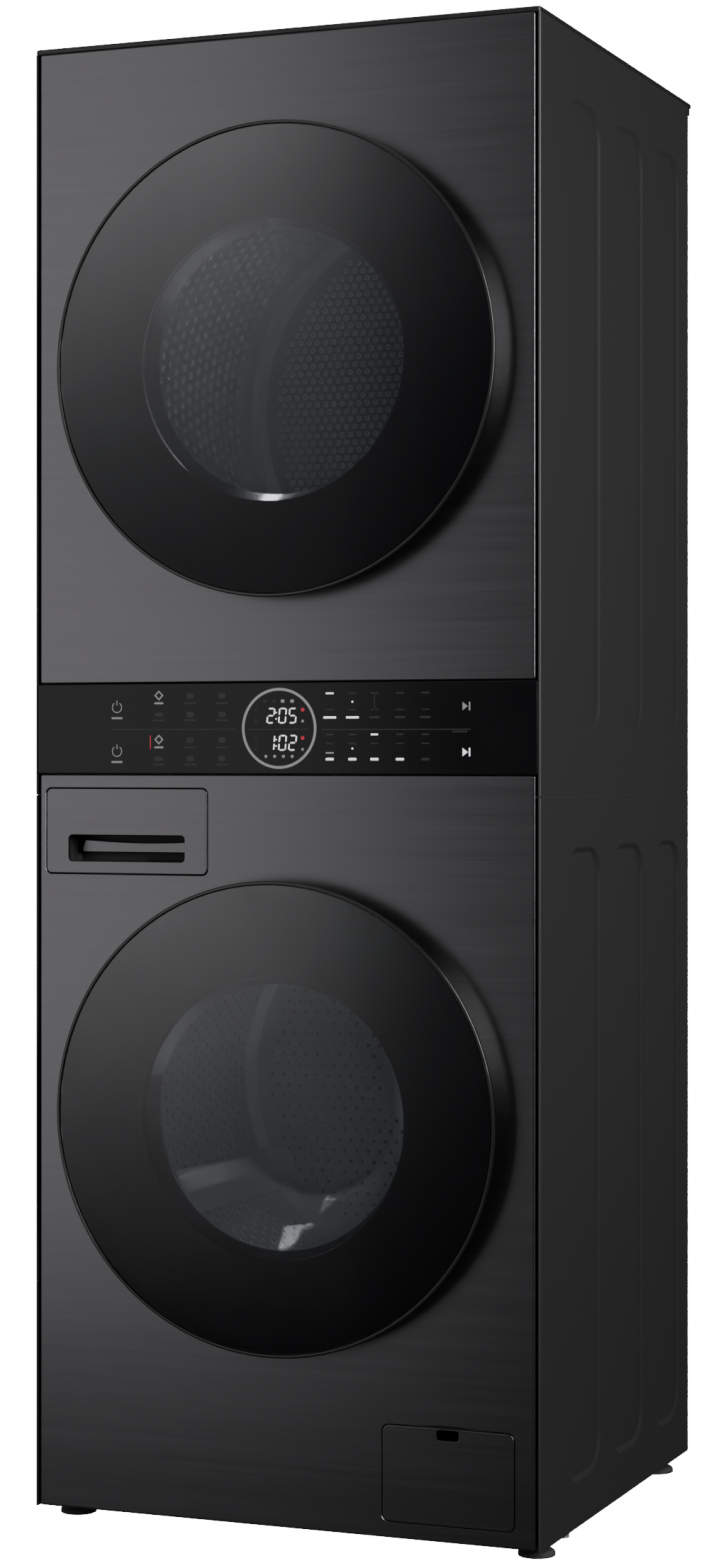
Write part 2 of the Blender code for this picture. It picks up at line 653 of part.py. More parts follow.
def door_frame(name, axis_z):
    """Open-fronted ring with a tapering wall, cut away at the hinge, with a latch hook."""
    profile = [
        (DOOR_R - 0.001, -0.3285), (DOOR_R, -0.3275), (0.2480, DOOR_BACK), (0.1660, DOOR_BACK),
        (0.1660, -0.3150), (0.1690, -0.3150), (0.1690, -0.3045), (0.2467, -0.3045),
        (0.2530, -0.3259), (0.2550, -0.3259), (0.2550, -0.3285),
    ]
    frame = turned(name, profile, "door_gloss", along_y(0, axis_z), ROUND)
    for side in (-1, 1):
        low, high = sorted((axis_z + side * 0.0180, axis_z + side * 0.0335))
        cut(frame, box(name + "_notch", (-0.275, COVER_BACK, low), (-0.198, -0.2990, high)))
    hook_low, hook_high = (0.2260, -0.3030, axis_z - 0.008), (0.2320, -0.2900, axis_z + 0.008)
    join(frame, box(name + "_hook", hook_low, hook_high))


def door_cover(name, axis_z):
    """The round plate over the whole door."""
    edge, corner = 0.2545, 0.001
    rim = [(edge - corner, DOOR_FACE), (edge, DOOR_FACE + corner), (edge, COVER_BACK)]
    profile = [(0, DOOR_FACE), *rim, (0, COVER_BACK)]
    turned(name, profile, "door_glass", along_y(0, axis_z), ROUND, False)


def inner_glass(name, axis_z, outer, inner):
    """Glass that bulges back through the ring from a flange behind the cover."""
    flange = [(0.178, -0.3155), (0.178, -0.3190)]
    turned(name, outer + flange + inner, "door_glass", along_y(0, axis_z), 28, False)


def washer_bowl():
    """The deep glass bowl that reaches into the washing drum."""
    outer = [
        (0, -0.190), (0.0900, -0.190), (0.1000, -0.196), (0.1280, -0.245), (0.1500, -0.300),
        (0.1600, -0.3150),
    ]
    inner = [
        (0.1570, -0.3190), (0.1460, -0.300), (0.1240, -0.245), (0.0965, -0.199), (0.0880, -0.194),
        (0, -0.194),
    ]
    inner_glass("washer_door_bowl", WASHER_Z, outer, inner)


def dryer_window():
    """The shallow glass behind the dryer door's cover."""
    outer = [(0, -0.285), (0.1400, -0.285), (0.1470, -0.2880), (0.1600, -0.3150)]
    inner = [(0.1560, -0.3190), (0.1435, -0.2910), (0.1390, -0.2885), (0, -0.2885)]
    inner_glass("dryer_door_window", DRYER_Z, outer, inner)


def ear_outline(centre, radius, start, end, count=14):
    """A knuckle circle joined to a straight foot from start to end."""
    return convex(circle(*centre, radius, count) + [start, end])


def convex(points):
    """The convex outline of some points, anticlockwise."""
    points = sorted(set(points))

    def half(run):
        chain = []
        for p in run:
            while len(chain) > 1 and turn(chain[-2], chain[-1], p) <= 0:
                chain.pop()
            chain.append(p)
        return chain[:-1]

    return half(points) + half(points[::-1])


def turn(a, b, c):
    """Positive where the way from a by b to c bends to the left."""
    return (b[0] - a[0]) * (c[1] - a[1]) - (b[1] - a[1]) * (c[0] - a[0])


def door_hinge(prefix, axis_z):
    """The fixed bracket with two ears, and the door's leaf with its pin."""
    low, high = (-0.2400, -0.3017, axis_z - 0.032), (-0.2060, FRONT - GAP, axis_z + 0.032)
    bracket = box(prefix + "_hinge_bracket", low, high, "galvanised")
    foot_y = -0.3006
    outline = ear_outline((HINGE_X, HINGE_Y), 0.0075, (-0.2390, foot_y), (-0.2120, foot_y))
    for side in (-1, 1):
        place = Matrix.Translation((0, 0, axis_z + side * EAR_Z))
        join(bracket, extruded(prefix + "_ear", [outline], EAR_THICK, None, place))
    centre = Matrix.Translation((HINGE_X, HINGE_Y, axis_z))
    cut(bracket, pin(prefix + "_pin_bore", PIN_R + GAP, -0.06, 0.06, centre))
    half = EAR_Z - EAR_THICK / 2 - 0.001
    bottom, top = axis_z - half, axis_z + half
    leaf = box(prefix + "_door_hinge", (-0.2450, -0.3205, bottom), (-0.2000, -0.3155, top), "galvanised")
    join(leaf, box(prefix + "_leaf_block", (-0.2250, -0.3160, bottom), (-0.2000, -0.3050, top)))
    join(leaf, pin(prefix + "_pin", PIN_R, -0.032, 0.032, centre))


# Dryer


def dryer_drum():
    """The drying drum, open at both ends, with three hollow lifters."""
    inner = DRYER_DRUM_R - DRUM_SHEET
    profile = [
        (DRYER_DRUM_R, -0.255), (DRYER_DRUM_R, 0.205), (inner, 0.205), (inner, -0.2538),
        (0.225, -0.2538), (0.225, -0.255),
    ]
    drum = turned("dryer_drum", profile, "drum_steel", along_y(0, DRYER_Z))
    outline = baffle_outline(inner + 0.0002, BAFFLE_HEIGHT, 0.030, 0.010)
    hollow = baffle_outline(DRYER_DRUM_R + 0.004, BAFFLE_HEIGHT + 0.002, 0.028, 0.007)
    for index in range(3):
        matrix = lying_along_y(0, -0.025, DRYER_Z, 2 * pi * index / 3 + radians(20))
        join(drum, extruded("dryer_lifter", [outline], 0.400, None, matrix))
        cut(drum, extruded("lifter_hollow", [hollow], 0.394, None, matrix))


def front_bulkhead():
    """The fixed wall at the drying drum's mouth, with the lint screen's well."""
    profile = [
        (0.2035, -0.2930), (0.2035, -0.2905), (0.1760, -0.2905), (0.1760, -0.2620), (0.2400, -0.2620),
        (0.2400, -0.2600), (0.2220, -0.2600), (0.2220, -0.2450), (0.2180, -0.2450), (0.2180, -0.2600),
        (MOUTH_R, -0.2600), (MOUTH_R, -0.2930),
    ]
    wall = turned("dryer_front_bulkhead", profile, "galvanised", along_y(0, DRYER_Z), 32)
    sheet = [rounded_rect((-0.285, 1.000), (0.285, 1.580), 0.030), circle(0, DRYER_Z, 0.2300, 32)]
    join(wall, extruded("bulkhead_sheet", sheet, 0.0016, None, facing_front(-0.2610)))
    join(wall, box("filter_pocket", (-0.0890, -0.2850, 1.010), (0.0890, -0.2625, 1.1175)))
    cut(wall, box("filter_well", (-0.0845, -0.2815, 1.013), (0.0845, -0.2660, 1.200)))


def lint_filter():
    """The flat lint screen: a panel with ribs and a thicker grip along its top."""
    half, low, high = 0.0825, 1.0140, 1.1230
    screen = box("lint_filter", (-half, -0.2760, low), (half, -0.2720, high - 0.012), "light_plastic")
    join(screen, box("screen_grip", (-half, -0.2800, high - 0.016), (half, -0.2675, high)))
    for x in (-0.0785, 0.0, 0.0785):
        rib_low, rib_high = (x - 0.003, -0.2785, low + 0.002), (x + 0.003, -0.2690, high - 0.010)
        join(screen, box("screen_rib", rib_low, rib_high))


def rear_bulkhead():
    """The fixed wall behind the drying drum, with air holes and the rollers' axles."""
    profile = [
        (0, 0.214), (0.268, 0.214), (0.268, 0.212), (0.253, 0.212), (0.253, 0.196), (0.250, 0.196),
        (0.250, 0.212), (0, 0.212),
    ]
    wall = turned("dryer_rear_bulkhead", profile, "galvanised", along_y(0, DRYER_Z), ROUND, False)
    for index in range(10):
        angle = radians(-79 + 15.5 * index)
        reach = 0.1690
        x, z = reach * cos(angle), DRYER_Z + reach * sin(angle)
        cut(wall, pin("air_hole", 0.010, 0.20, 0.23, along_y(x, z), 6))
    for side in (-1, 1):
        ends = sorted((side * 0.130, side * 0.170))
        join(wall, box("roller_lug", (ends[0], 0.2122, 1.015), (ends[1], 0.2138, 1.095)))
        join(wall, pin("roller_axle", 0.005, 0.174, 0.213, along_y(side * ROLLER_X, ROLLER_Z)))


def drum_rollers():
    """Two rollers that carry the drying drum's rear end."""
    profile = [(0.0054, 0.179), (ROLLER_R, 0.179), (ROLLER_R, 0.199), (0.0054, 0.199)]
    for side, label in ((-1, "left"), (1, "right")):
        turned(f"drum_roller_{label}", profile, "foot_rubber", along_y(side * ROLLER_X, ROLLER_Z), 16)


def belt_outline(big, small, spacing):
    """A loop round two circles: the big one at the origin, the small one at +X."""
    lean = asin((big - small) / spacing)
    start = pi / 2 - lean
    around = 36
    points = []
    for step in range(around + 1):
        angle = start + (2 * pi - 2 * start) * step / around
        points.append((big * cos(angle), big * sin(angle)))
    for step in range(9):
        angle = -start + 2 * start * step / 8
        points.append((spacing + small * cos(angle), small * sin(angle)))
    return points


def drum_belt():
    """The belt round the drum and the motor's pulley."""
    drop = DRYER_Z - MOTOR_Z
    spacing = hypot(MOTOR_X, drop)
    thick = 0.0016
    inner = belt_outline(DRYER_DRUM_R + 0.0022, PULLEY_R + 0.0016, spacing)
    outer = belt_outline(DRYER_DRUM_R + 0.0022 + thick, PULLEY_R + 0.0016 + thick, spacing)
    place = lying_along_y(0, -0.004, DRYER_Z, atan2(-drop, MOTOR_X))
    extruded("drum_belt", [outer, inner], 0.010, "foot_rubber", place)


def dryer_drive():
    """The motor, with the belt's pulley on its front end and the blower at its rear."""
    case = [(0.0068, 0.020), (0.030, 0.020), (0.052, 0.034), (0.052, 0.150), (0.030, 0.164), (0.0068, 0.164)]
    motor = turned("dryer_motor", case, "galvanised", along_y(MOTOR_X, MOTOR_Z), 16)
    join(motor, box("motor_foot", (MOTOR_X - 0.035, 0.050, 0.8340), (MOTOR_X + 0.035, 0.135, 0.925)))
    spin = [
        (0, 0.206), (0.006, 0.206), (0.006, 0.006), (PULLEY_R, 0.006), (PULLEY_R, -0.014),
        (0.006, -0.016), (0, -0.016),
    ]
    turned("motor_pulley", spin, "spring_steel", along_y(MOTOR_X, MOTOR_Z), SMALL_ROUND, False)
    hub = [
        (0.0063, 0.174), (0.046, 0.174), (0.046, 0.1765), (0.014, 0.1765), (0.012, 0.202),
        (0.0063, 0.202),
    ]
    fan = turned("blower_fan", hub, "dark_plastic", along_y(MOTOR_X, MOTOR_Z), 16)
    for index in range(8):
        blade = box("fan_blade", (0.010, -0.0012, -0.200), (0.044, 0.0012, -0.1755))
        blade.matrix_world = lying_along_y(MOTOR_X, 0, MOTOR_Z, 2 * pi * index / 8)
        join(fan, blade)


def heat_pump():
    """The heat pump: a coil block with fin gaps and a compressor can on one plate."""
    floor = 0.8340
    low, high = (-0.270, -0.250, floor), (0.080, 0.120, floor + 0.008)
    module = box("heat_pump_module", low, high, "galvanised")
    join(module, box("coil_block", (-0.262, -0.240, floor + 0.004), (-0.060, 0.110, 0.985)))
    for index in range(6):
        y = -0.215 + 0.045 * index
        cut(module, box("fin_gap", (-0.250, y, 0.880), (-0.040, y + 0.020, 0.995)))
    can = [
        (0, 0.992), (0.030, 0.988), (0.054, 0.965), (0.056, 0.900), (0.056, 0.850),
        (0.046, floor + 0.004), (0, floor + 0.004),
    ]
    join(module, turned("compressor", can, None, Matrix.Translation((0.012, -0.165, 0)), 20, False))


# Joints: where each moving group turns or slides, and its pieces
PIVOTS = {
    "washer_door_pivot": (
        (HINGE_X, HINGE_Y, WASHER_Z),
        ("washer_door_frame", "washer_door_cover", "washer_door_bowl", "washer_door_hinge"),
    ),
    "dryer_door_pivot": (
        (HINGE_X, HINGE_Y, DRYER_Z),
        ("dryer_door_frame", "dryer_door_cover", "dryer_door_window", "dryer_door_hinge"),
    ),
    "washer_drum_pivot": (
        (0, 0, WASHER_Z),
        (
            "washer_drum", "washer_baffle_1", "washer_baffle_2", "washer_baffle_3", "drum_spider",
            "motor_rotor",
        ),
    ),
    "dryer_drum_pivot": ((0, 0, DRYER_Z), ("dryer_drum",)),
    "blower_pivot": ((MOTOR_X, 0, MOTOR_Z), ("motor_pulley", "blower_fan")),
    "drawer_pivot": (
        (sum(DRAWER_X) / 2, FRONT, sum(DRAWER_Z) / 2),
        ("detergent_drawer_front", "detergent_drawer"),
    ),
    "service_door_pivot": (FILTER_HINGE, ("filter_door",)),
    "pump_cap_pivot": ((CAP_X, 0, CAP_Z), ("drain_filter_cap",)),
    "lint_screen_pivot": ((0, -0.2740, 1.0140), ("lint_filter",)),
}


def hang_on_pivots():
    """Parents each moving group to an empty on its joint, without moving it."""
    for name, (place, pieces) in PIVOTS.items():
        pivot = bpy.data.objects.new(name, None)
        pivot.location = place
        pivot.empty_display_size = 0.05
        PARTS.objects.link(pivot)
        for piece in pieces:
            obj = bpy.data.objects[piece]
            obj.parent = pivot
            obj.matrix_parent_inverse = Matrix.Translation(place).inverted()


def build_cabinet():
    """The case: pan, feet, sides, fronts, rear covers, top cover and control band."""
    base_pan()
    for x, side in ((-FOOT_X, "left"), (FOOT_X, "right")):
        for y, end in zip(FOOT_Y, ("front", "rear")):
            leveling_foot(f"leveling_foot_{end}_{side}", x, y)
    for mirror, side in ((-1, "left"), (1, "right")):
        side_panel(f"washer_{side}_side", mirror, FOOT_HEIGHT, SEAM_Z - 0.0005, WASHER_PRESS)
        side_panel(f"dryer_{side}_side", mirror, SEAM_Z + 0.0005, LID_LOW - 0.0005, DRYER_PRESS)
    washer_front_panel()
    front_panel("dryer_front_panel", BAND_HIGH + 0.0005, LID_LOW - 0.0005, DRYER_Z)
    washer_rear_panel()
    dryer_rear_panel()
    top_cover()
    dryer_base()
    control_panel()


def build_washer():
    """Everything inside the washer, its drawer and its service door."""
    washer_tub()
    washer_drum()
    washer_baffles()
    drum_spider()
    washer_drive()
    washer_suspension()
    washer_gasket()
    drain_pump()
    filter_door()
    dispenser()
    drawer_front()
    water_inlet_valve()


def build_doors():
    """The two doors and their hinges."""
    for prefix, axis_z in (("washer", WASHER_Z), ("dryer", DRYER_Z)):
        door_frame(prefix + "_door_frame", axis_z)
        door_cover(prefix + "_door_cover", axis_z)
        door_hinge(prefix, axis_z)
    washer_bowl()
    dryer_window()


def build_dryer():
    """Everything inside the dryer."""
    dryer_drum()
    front_bulkhead()
    lint_filter()
    rear_bulkhead()
    drum_rollers()
    drum_belt()
    dryer_drive()
    heat_pump()


build_cabinet()
build_washer()
build_doors()
build_dryer()
hang_on_pivots()
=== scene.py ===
"""Looks of a laundry tower: a dryer stacked on a washer in one black steel cabinet.

Each sub-assembly is a class that holds its sizes and builds and dresses its own pieces around
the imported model. Metres, +Z up, front towards -Y, +X to the right of someone who faces it.
"""

import logging
from collections.abc import Callable, Iterable, Sequence
from dataclasses import dataclass, field
from enum import Enum
from math import cos, pi, radians, sin, sqrt

import bmesh
import bpy
from mathutils import Matrix, Vector


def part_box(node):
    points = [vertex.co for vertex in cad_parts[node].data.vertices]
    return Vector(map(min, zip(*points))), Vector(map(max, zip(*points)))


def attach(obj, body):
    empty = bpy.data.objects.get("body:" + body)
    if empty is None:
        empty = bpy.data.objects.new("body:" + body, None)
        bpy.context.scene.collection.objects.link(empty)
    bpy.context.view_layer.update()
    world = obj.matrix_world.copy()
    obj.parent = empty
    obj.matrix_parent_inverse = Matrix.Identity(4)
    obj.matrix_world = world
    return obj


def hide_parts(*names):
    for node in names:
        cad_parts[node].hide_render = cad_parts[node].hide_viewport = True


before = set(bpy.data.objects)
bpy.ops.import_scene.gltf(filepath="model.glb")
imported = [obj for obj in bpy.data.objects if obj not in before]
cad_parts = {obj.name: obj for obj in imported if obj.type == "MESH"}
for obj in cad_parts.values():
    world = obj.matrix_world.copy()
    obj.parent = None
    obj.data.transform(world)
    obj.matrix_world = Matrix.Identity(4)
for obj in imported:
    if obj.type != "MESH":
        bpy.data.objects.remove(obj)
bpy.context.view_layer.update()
LOG = logging.getLogger("laundry_tower")

Point = tuple[float, float]
Place = Callable[[float, float, float], Vector]
Colour = tuple[float, float, float]
Box = tuple[Point, Point]
Ring = list[bmesh.types.BMVert]

ROUND_STEPS = 128  # sides of a large turned piece
SMALL_STEPS = 48  # sides of a small one
SMOOTH_ANGLE = radians(38)


# --------------------------------------------------------------------------------------
# Node trees
# --------------------------------------------------------------------------------------


class NodeMaker:
    """Adds and links nodes in one node tree."""

    def __init__(self, tree: bpy.types.NodeTree) -> None:
        """Keeps the tree that the nodes go in."""
        self.tree = tree

    def add(self, kind: str, inputs: dict | None = None, **settings: object) -> bpy.types.Node:
        """Adds a node.

        Args:
            kind: The node's type name.
            inputs: Values or sockets by input name or number.
            settings: Properties set on the node before its inputs.

        Returns:
            The new node.
        """
        node = self.tree.nodes.new(kind)
        for key, value in settings.items():
            setattr(node, key, value)
        self.feed(node, inputs or {})
        return node

    def feed(self, node: bpy.types.Node, inputs: dict) -> None:
        """Links or sets a node's inputs.

        Args:
            node: The node.
            inputs: Values or sockets by input name or number.
        """
        for key, value in inputs.items():
            if isinstance(value, bpy.types.NodeSocket):
                self.tree.links.new(value, node.inputs[key])
            else:
                node.inputs[key].default_value = value

    def math(self, operation: str, *values: object) -> bpy.types.NodeSocket:
        """Adds a Math node.

        Args:
            operation: The name of the operation.
            values: Numbers or sockets, in the node's order.

        Returns:
            The result socket.
        """
        return self.add("ShaderNodeMath", dict(enumerate(values)), operation=operation).outputs[0]

    def vector_math(self, operation: str, *values: object) -> bpy.types.NodeSocket:
        """Adds a Vector Math node.

        Args:
            operation: The name of the operation.
            values: Vectors or sockets, in the node's order.

        Returns:
            The vector result socket.
        """
        return self.add("ShaderNodeVectorMath", dict(enumerate(values)), operation=operation).outputs[0]

    def spread(self, value: object, low: Point, high: Point) -> bpy.types.NodeSocket:
        """Maps a value from one range to another, without leaving the second.

        Args:
            value: The socket to map.
            low: The lowest input and what it becomes.
            high: The highest input and what it becomes.

        Returns:
            The mapped value.
        """
        inputs = {
            "Value": value, "From Min": low[0], "To Min": low[1], "From Max": high[0], "To Max": high[1]
        }
        return self.add("ShaderNodeMapRange", inputs, interpolation_type="SMOOTHSTEP").outputs[0]

    def blend(self, amount: object, first: object, second: object) -> bpy.types.NodeSocket:
        """Mixes two colours.

        Args:
            amount: How much of the second shows.
            first: A colour or socket.
            second: A colour or socket.

        Returns:
            The mixed colour.
        """
        inputs = {0: amount, 6: first, 7: second}
        return self.add("ShaderNodeMix", inputs, data_type="RGBA").outputs[2]


class Effect(Enum):
    """The shader groups that materials share."""

    BRUSHED = "brushed_grain"
    MOULDED = "moulded_grain"
    SPANGLE = "zinc_spangle"
    CAST = "cast_surface"
    EDGE_WEAR = "edge_wear"
    DUST = "dust_film"


def start_group(
    effect: Effect, inputs: dict[str, str], outputs: Sequence[str]
) -> tuple[NodeMaker, dict, object]:
    """Begins a shader node group.

    Args:
        effect: The effect that the group makes.
        inputs: Socket type by input name.
        outputs: Names of the value outputs.

    Returns:
        The maker, the group's input sockets by name, and its output node.
    """
    tree = bpy.data.node_groups.new(effect.value, "ShaderNodeTree")
    for name, kind in inputs.items():
        tree.interface.new_socket(name, in_out="INPUT", socket_type=kind)
    for name in outputs:
        tree.interface.new_socket(name, in_out="OUTPUT", socket_type="NodeSocketFloat")
    maker = NodeMaker(tree)
    entry = maker.add("NodeGroupInput")
    return maker, {name: entry.outputs[name] for name in inputs}, maker.add("NodeGroupOutput")


GRAIN_INPUTS = {"Vector": "NodeSocketVector", "Size": "NodeSocketVector"}


def grain_group(effect: Effect) -> bpy.types.NodeTree:
    """Builds the group for one kind of surface grain.

    Args:
        effect: One of the four grains.

    Returns:
        A group with the outputs Mask and Height.
    """
    maker, given, out = start_group(effect, GRAIN_INPUTS, ("Mask", "Height"))
    cell = maker.vector_math("DIVIDE", given["Vector"], given["Size"])
    if effect is Effect.BRUSHED:
        fine = maker.add("ShaderNodeTexNoise", {"Vector": cell, "Scale": 1.0, "Detail": 2.0})
        coarse_cell = maker.vector_math("MULTIPLY", cell, (0.31, 0.31, 0.17))
        coarse = maker.add("ShaderNodeTexNoise", {"Vector": coarse_cell, "Scale": 1.0, "Detail": 1.0})
        height = fine.outputs[0]
        mask = maker.math(
            "MULTIPLY_ADD", fine.outputs[0], 0.6, maker.math("MULTIPLY", coarse.outputs[0], 0.4)
        )
    elif effect is Effect.MOULDED:
        pebble = maker.add("ShaderNodeTexVoronoi", {"Vector": cell, "Scale": 1.0}, feature="SMOOTH_F1")
        slow = maker.add("ShaderNodeTexNoise", {"Vector": cell, "Scale": 0.06, "Detail": 3.0})
        height = pebble.outputs["Distance"]
        mask = slow.outputs[0]
    elif effect is Effect.SPANGLE:
        flake = maker.add("ShaderNodeTexVoronoi", {"Vector": cell, "Scale": 1.0, "Randomness": 1.0})
        streak = maker.add("ShaderNodeTexNoise", {"Vector": cell, "Scale": 2.5, "Detail": 3.0})
        split = maker.add("ShaderNodeSeparateColor", {0: flake.outputs["Color"]})
        height = streak.outputs[0]
        mask = maker.math("MULTIPLY_ADD", split.outputs[0], 0.7, maker.math("MULTIPLY", height, 0.3))
    else:
        rough = maker.add(
            "ShaderNodeTexNoise", {"Vector": cell, "Scale": 1.0, "Detail": 6.0, "Roughness": 0.7}
        )
        height = rough.outputs[0]
        mask = maker.spread(height, (0.3, 0.0), (0.7, 1.0))
    maker.feed(out, {"Mask": mask, "Height": height})
    return maker.tree


def wear_group() -> bpy.types.NodeTree:
    """Builds the group that finds rubbed edges: convex places, broken up by noise.

    Returns:
        A group with the output Mask.
    """
    inputs = {"Pointiness": "NodeSocketFloat", "Vector": "NodeSocketVector", "Amount": "NodeSocketFloat"}
    maker, given, out = start_group(Effect.EDGE_WEAR, inputs, ("Mask",))
    edge = maker.spread(given["Pointiness"], (0.52, 0.0), (0.60, 1.0))
    noise = maker.add("ShaderNodeTexNoise", {"Vector": given["Vector"], "Scale": 90.0, "Detail": 4.0})
    patch = maker.spread(noise.outputs[0], (0.40, 0.0), (0.68, 1.0))
    mask = maker.math("MULTIPLY", maker.math("MULTIPLY", edge, patch), given["Amount"])
    maker.feed(out, {"Mask": mask})
    return maker.tree


def dust_group() -> bpy.types.NodeTree:
    """Builds the group for fine dust, which gathers where the surface faces up.

    Returns:
        A group with the output Mask.
    """
    inputs = {"Vector": "NodeSocketVector", "Facing": "NodeSocketVector", "Amount": "NodeSocketFloat"}
    maker, given, out = start_group(Effect.DUST, inputs, ("Mask",))
    upright = maker.add("ShaderNodeSeparateXYZ", {0: given["Facing"]}).outputs[2]
    settled = maker.spread(upright, (-0.2, 0.12), (1.0, 1.0))
    noise = maker.add("ShaderNodeTexNoise", {"Vector": given["Vector"], "Scale": 14.0, "Detail": 8.0})
    patch = maker.spread(noise.outputs[0], (0.35, 0.2), (0.75, 1.0))
    mask = maker.math("MULTIPLY", maker.math("MULTIPLY", settled, patch), given["Amount"])
    maker.feed(out, {"Mask": mask})
    return maker.tree


def effect_group(effect: Effect) -> bpy.types.NodeTree:
    """Returns the effect's shader group, built the first time it is asked for.

    Args:
        effect: The effect.

    Returns:
        The group.
    """
    found = bpy.data.node_groups.get(effect.value)
    if found:
        return found
    makers = {Effect.EDGE_WEAR: wear_group, Effect.DUST: dust_group}
    return makers[effect]() if effect in makers else grain_group(effect)


# --------------------------------------------------------------------------------------
# Finishes
# --------------------------------------------------------------------------------------


DUST_COLOUR = (0.32, 0.31, 0.29, 1.0)


@dataclass(frozen=True)
class Finish:
    """A surface finish, made once as a procedural material."""

    name: str
    slot: str
    colour: Colour
    roughness: float
    metallic: float = 0.0
    grain: Effect = Effect.MOULDED
    grain_size: Colour = (0.0009, 0.0009, 0.0009)
    shade: float = 0.85  # how dark the grain's low places are; in the sheen glass, how dark its painted shade gets where the painted sheen is weak
    swing: float = 0.06  # how far roughness strays
    relief: float = 0.00002
    wear: float = 0.15
    dust: float = 0.05
    coat: float = 0.0
    ior: float = 1.45
    glow: float = 0.0

    def material(self) -> bpy.types.Material:
        """Returns the finish as a material.

        Returns:
            The material, made the first time it is asked for.
        """
        found = bpy.data.materials.get(self.name)
        if found:
            return found
        made = bpy.data.materials.new(self.name)
        made.use_nodes = True
        made.diffuse_color = self.tone()
        maker = NodeMaker(made.node_tree)
        shader = made.node_tree.nodes["Principled BSDF"]
        inputs = {
            "Metallic": self.metallic, "IOR": self.ior, "Coat Weight": self.coat, "Coat Roughness": 0.06,
            "Emission Strength": self.glow, "Emission Color": self.tone(),
        }
        maker.feed(shader, inputs)
        self.wire(maker, shader)
        return made

    def tone(self, share: float = 1.0, lift: float = 0.0) -> tuple[float, ...]:
        """Returns the colour made darker or lighter, with a full alpha."""
        return (*(min(1.0, value * share + lift) for value in self.colour), 1.0)

    def wire(self, maker: NodeMaker, shader: bpy.types.Node) -> None:
        """Links grain, wear and dust into colour, roughness and relief.

        Args:
            maker: The material's node maker.
            shader: The material's Principled node.
        """
        place = maker.add("ShaderNodeTexCoord").outputs
        where = place["Object"]
        inputs = {"Vector": where, "Size": self.grain_size}
        grain = maker.add("ShaderNodeGroup", inputs, node_tree=effect_group(self.grain)).outputs
        bend = maker.add("ShaderNodeNewGeometry").outputs["Pointiness"]
        inputs = {"Pointiness": bend, "Vector": where, "Amount": self.wear}
        wear = maker.add("ShaderNodeGroup", inputs, node_tree=effect_group(Effect.EDGE_WEAR)).outputs[0]
        inputs = {"Vector": where, "Facing": place["Normal"], "Amount": self.dust}
        dust = maker.add("ShaderNodeGroup", inputs, node_tree=effect_group(Effect.DUST)).outputs[0]
        colour = maker.blend(grain["Mask"], self.tone(self.shade), self.tone())
        colour = maker.blend(wear, colour, self.tone(1.6, 0.03))
        colour = maker.blend(dust, colour, DUST_COLOUR)
        floor, top = max(0.02, self.roughness - self.swing), self.roughness + self.swing
        rough = maker.spread(grain["Mask"], (0.2, floor), (0.8, top))
        rough = maker.math("ADD", rough, maker.math("MULTIPLY", dust, 0.4))
        inputs = {"Height": grain["Height"], "Distance": self.relief, "Strength": 0.5}
        bump = maker.add("ShaderNodeBump", inputs).outputs[0]
        maker.feed(shader, {"Base Color": colour, "Roughness": rough, "Normal": bump})


@dataclass(frozen=True)
class Glass(Finish):
    """A clear or smoked glass, with faint smudges."""

    def wire(self, maker: NodeMaker, shader: bpy.types.Node) -> None:
        """Links smudges into the roughness of a transmitting surface.

        Args:
            maker: The material's node maker.
            shader: The material's Principled node.
        """
        where = maker.add("ShaderNodeTexCoord").outputs["Object"]
        inputs = {"Vector": where, "Scale": 9.0, "Detail": 5.0}
        smudge = maker.add("ShaderNodeTexNoise", inputs).outputs[0]
        rough = maker.spread(smudge, (0.45, self.roughness), (0.8, self.roughness + self.swing))
        tint = maker.spread(smudge, (0.3, 0.0), (0.7, 1.0))
        colour = maker.blend(tint, self.tone(self.shade), self.tone())
        inputs = {"Transmission Weight": 1.0, "Roughness": rough, "Base Color": colour}
        maker.feed(shader, inputs)


@dataclass(frozen=True)
class PaintedSheenGlass(Finish):
    """A smoked plate whose painted sheen, and the painted shade in its tint, fade with the mesh's own
    attribute.
    """

    coat_ior: float = 2.1
    coat_blur: float = 0.26

    def wire(self, maker: NodeMaker, shader: bpy.types.Node) -> None:
        """Links the painted sheen to the coat's strength and to the tint, and smudges to the coat's
        roughness.

        Args:
            maker: The material's node maker.
            shader: The material's Principled node.
        """
        # painted sheen and painted shade: more coat and a lighter tint where the attribute is high, at
        # the upper left
        painted_sheen = maker.add("ShaderNodeAttribute", attribute_name=PAINTED_SHEEN).outputs["Fac"]
        where = maker.add("ShaderNodeTexCoord").outputs["Object"]
        smudge = maker.add("ShaderNodeTexNoise", {"Vector": where, "Scale": 6.0, "Detail": 4.0})
        low, high = (0.35, self.coat_blur - self.swing), (0.75, self.coat_blur + self.swing)
        inputs = {
            "Transmission Weight": 1.0, "Roughness": self.roughness, "Coat IOR": self.coat_ior,
            "Coat Weight": painted_sheen, "Coat Roughness": maker.spread(smudge.outputs[0], low, high),
            "Base Color": maker.blend(painted_sheen, self.tone(self.shade), self.tone()),
        }
        maker.feed(shader, inputs)


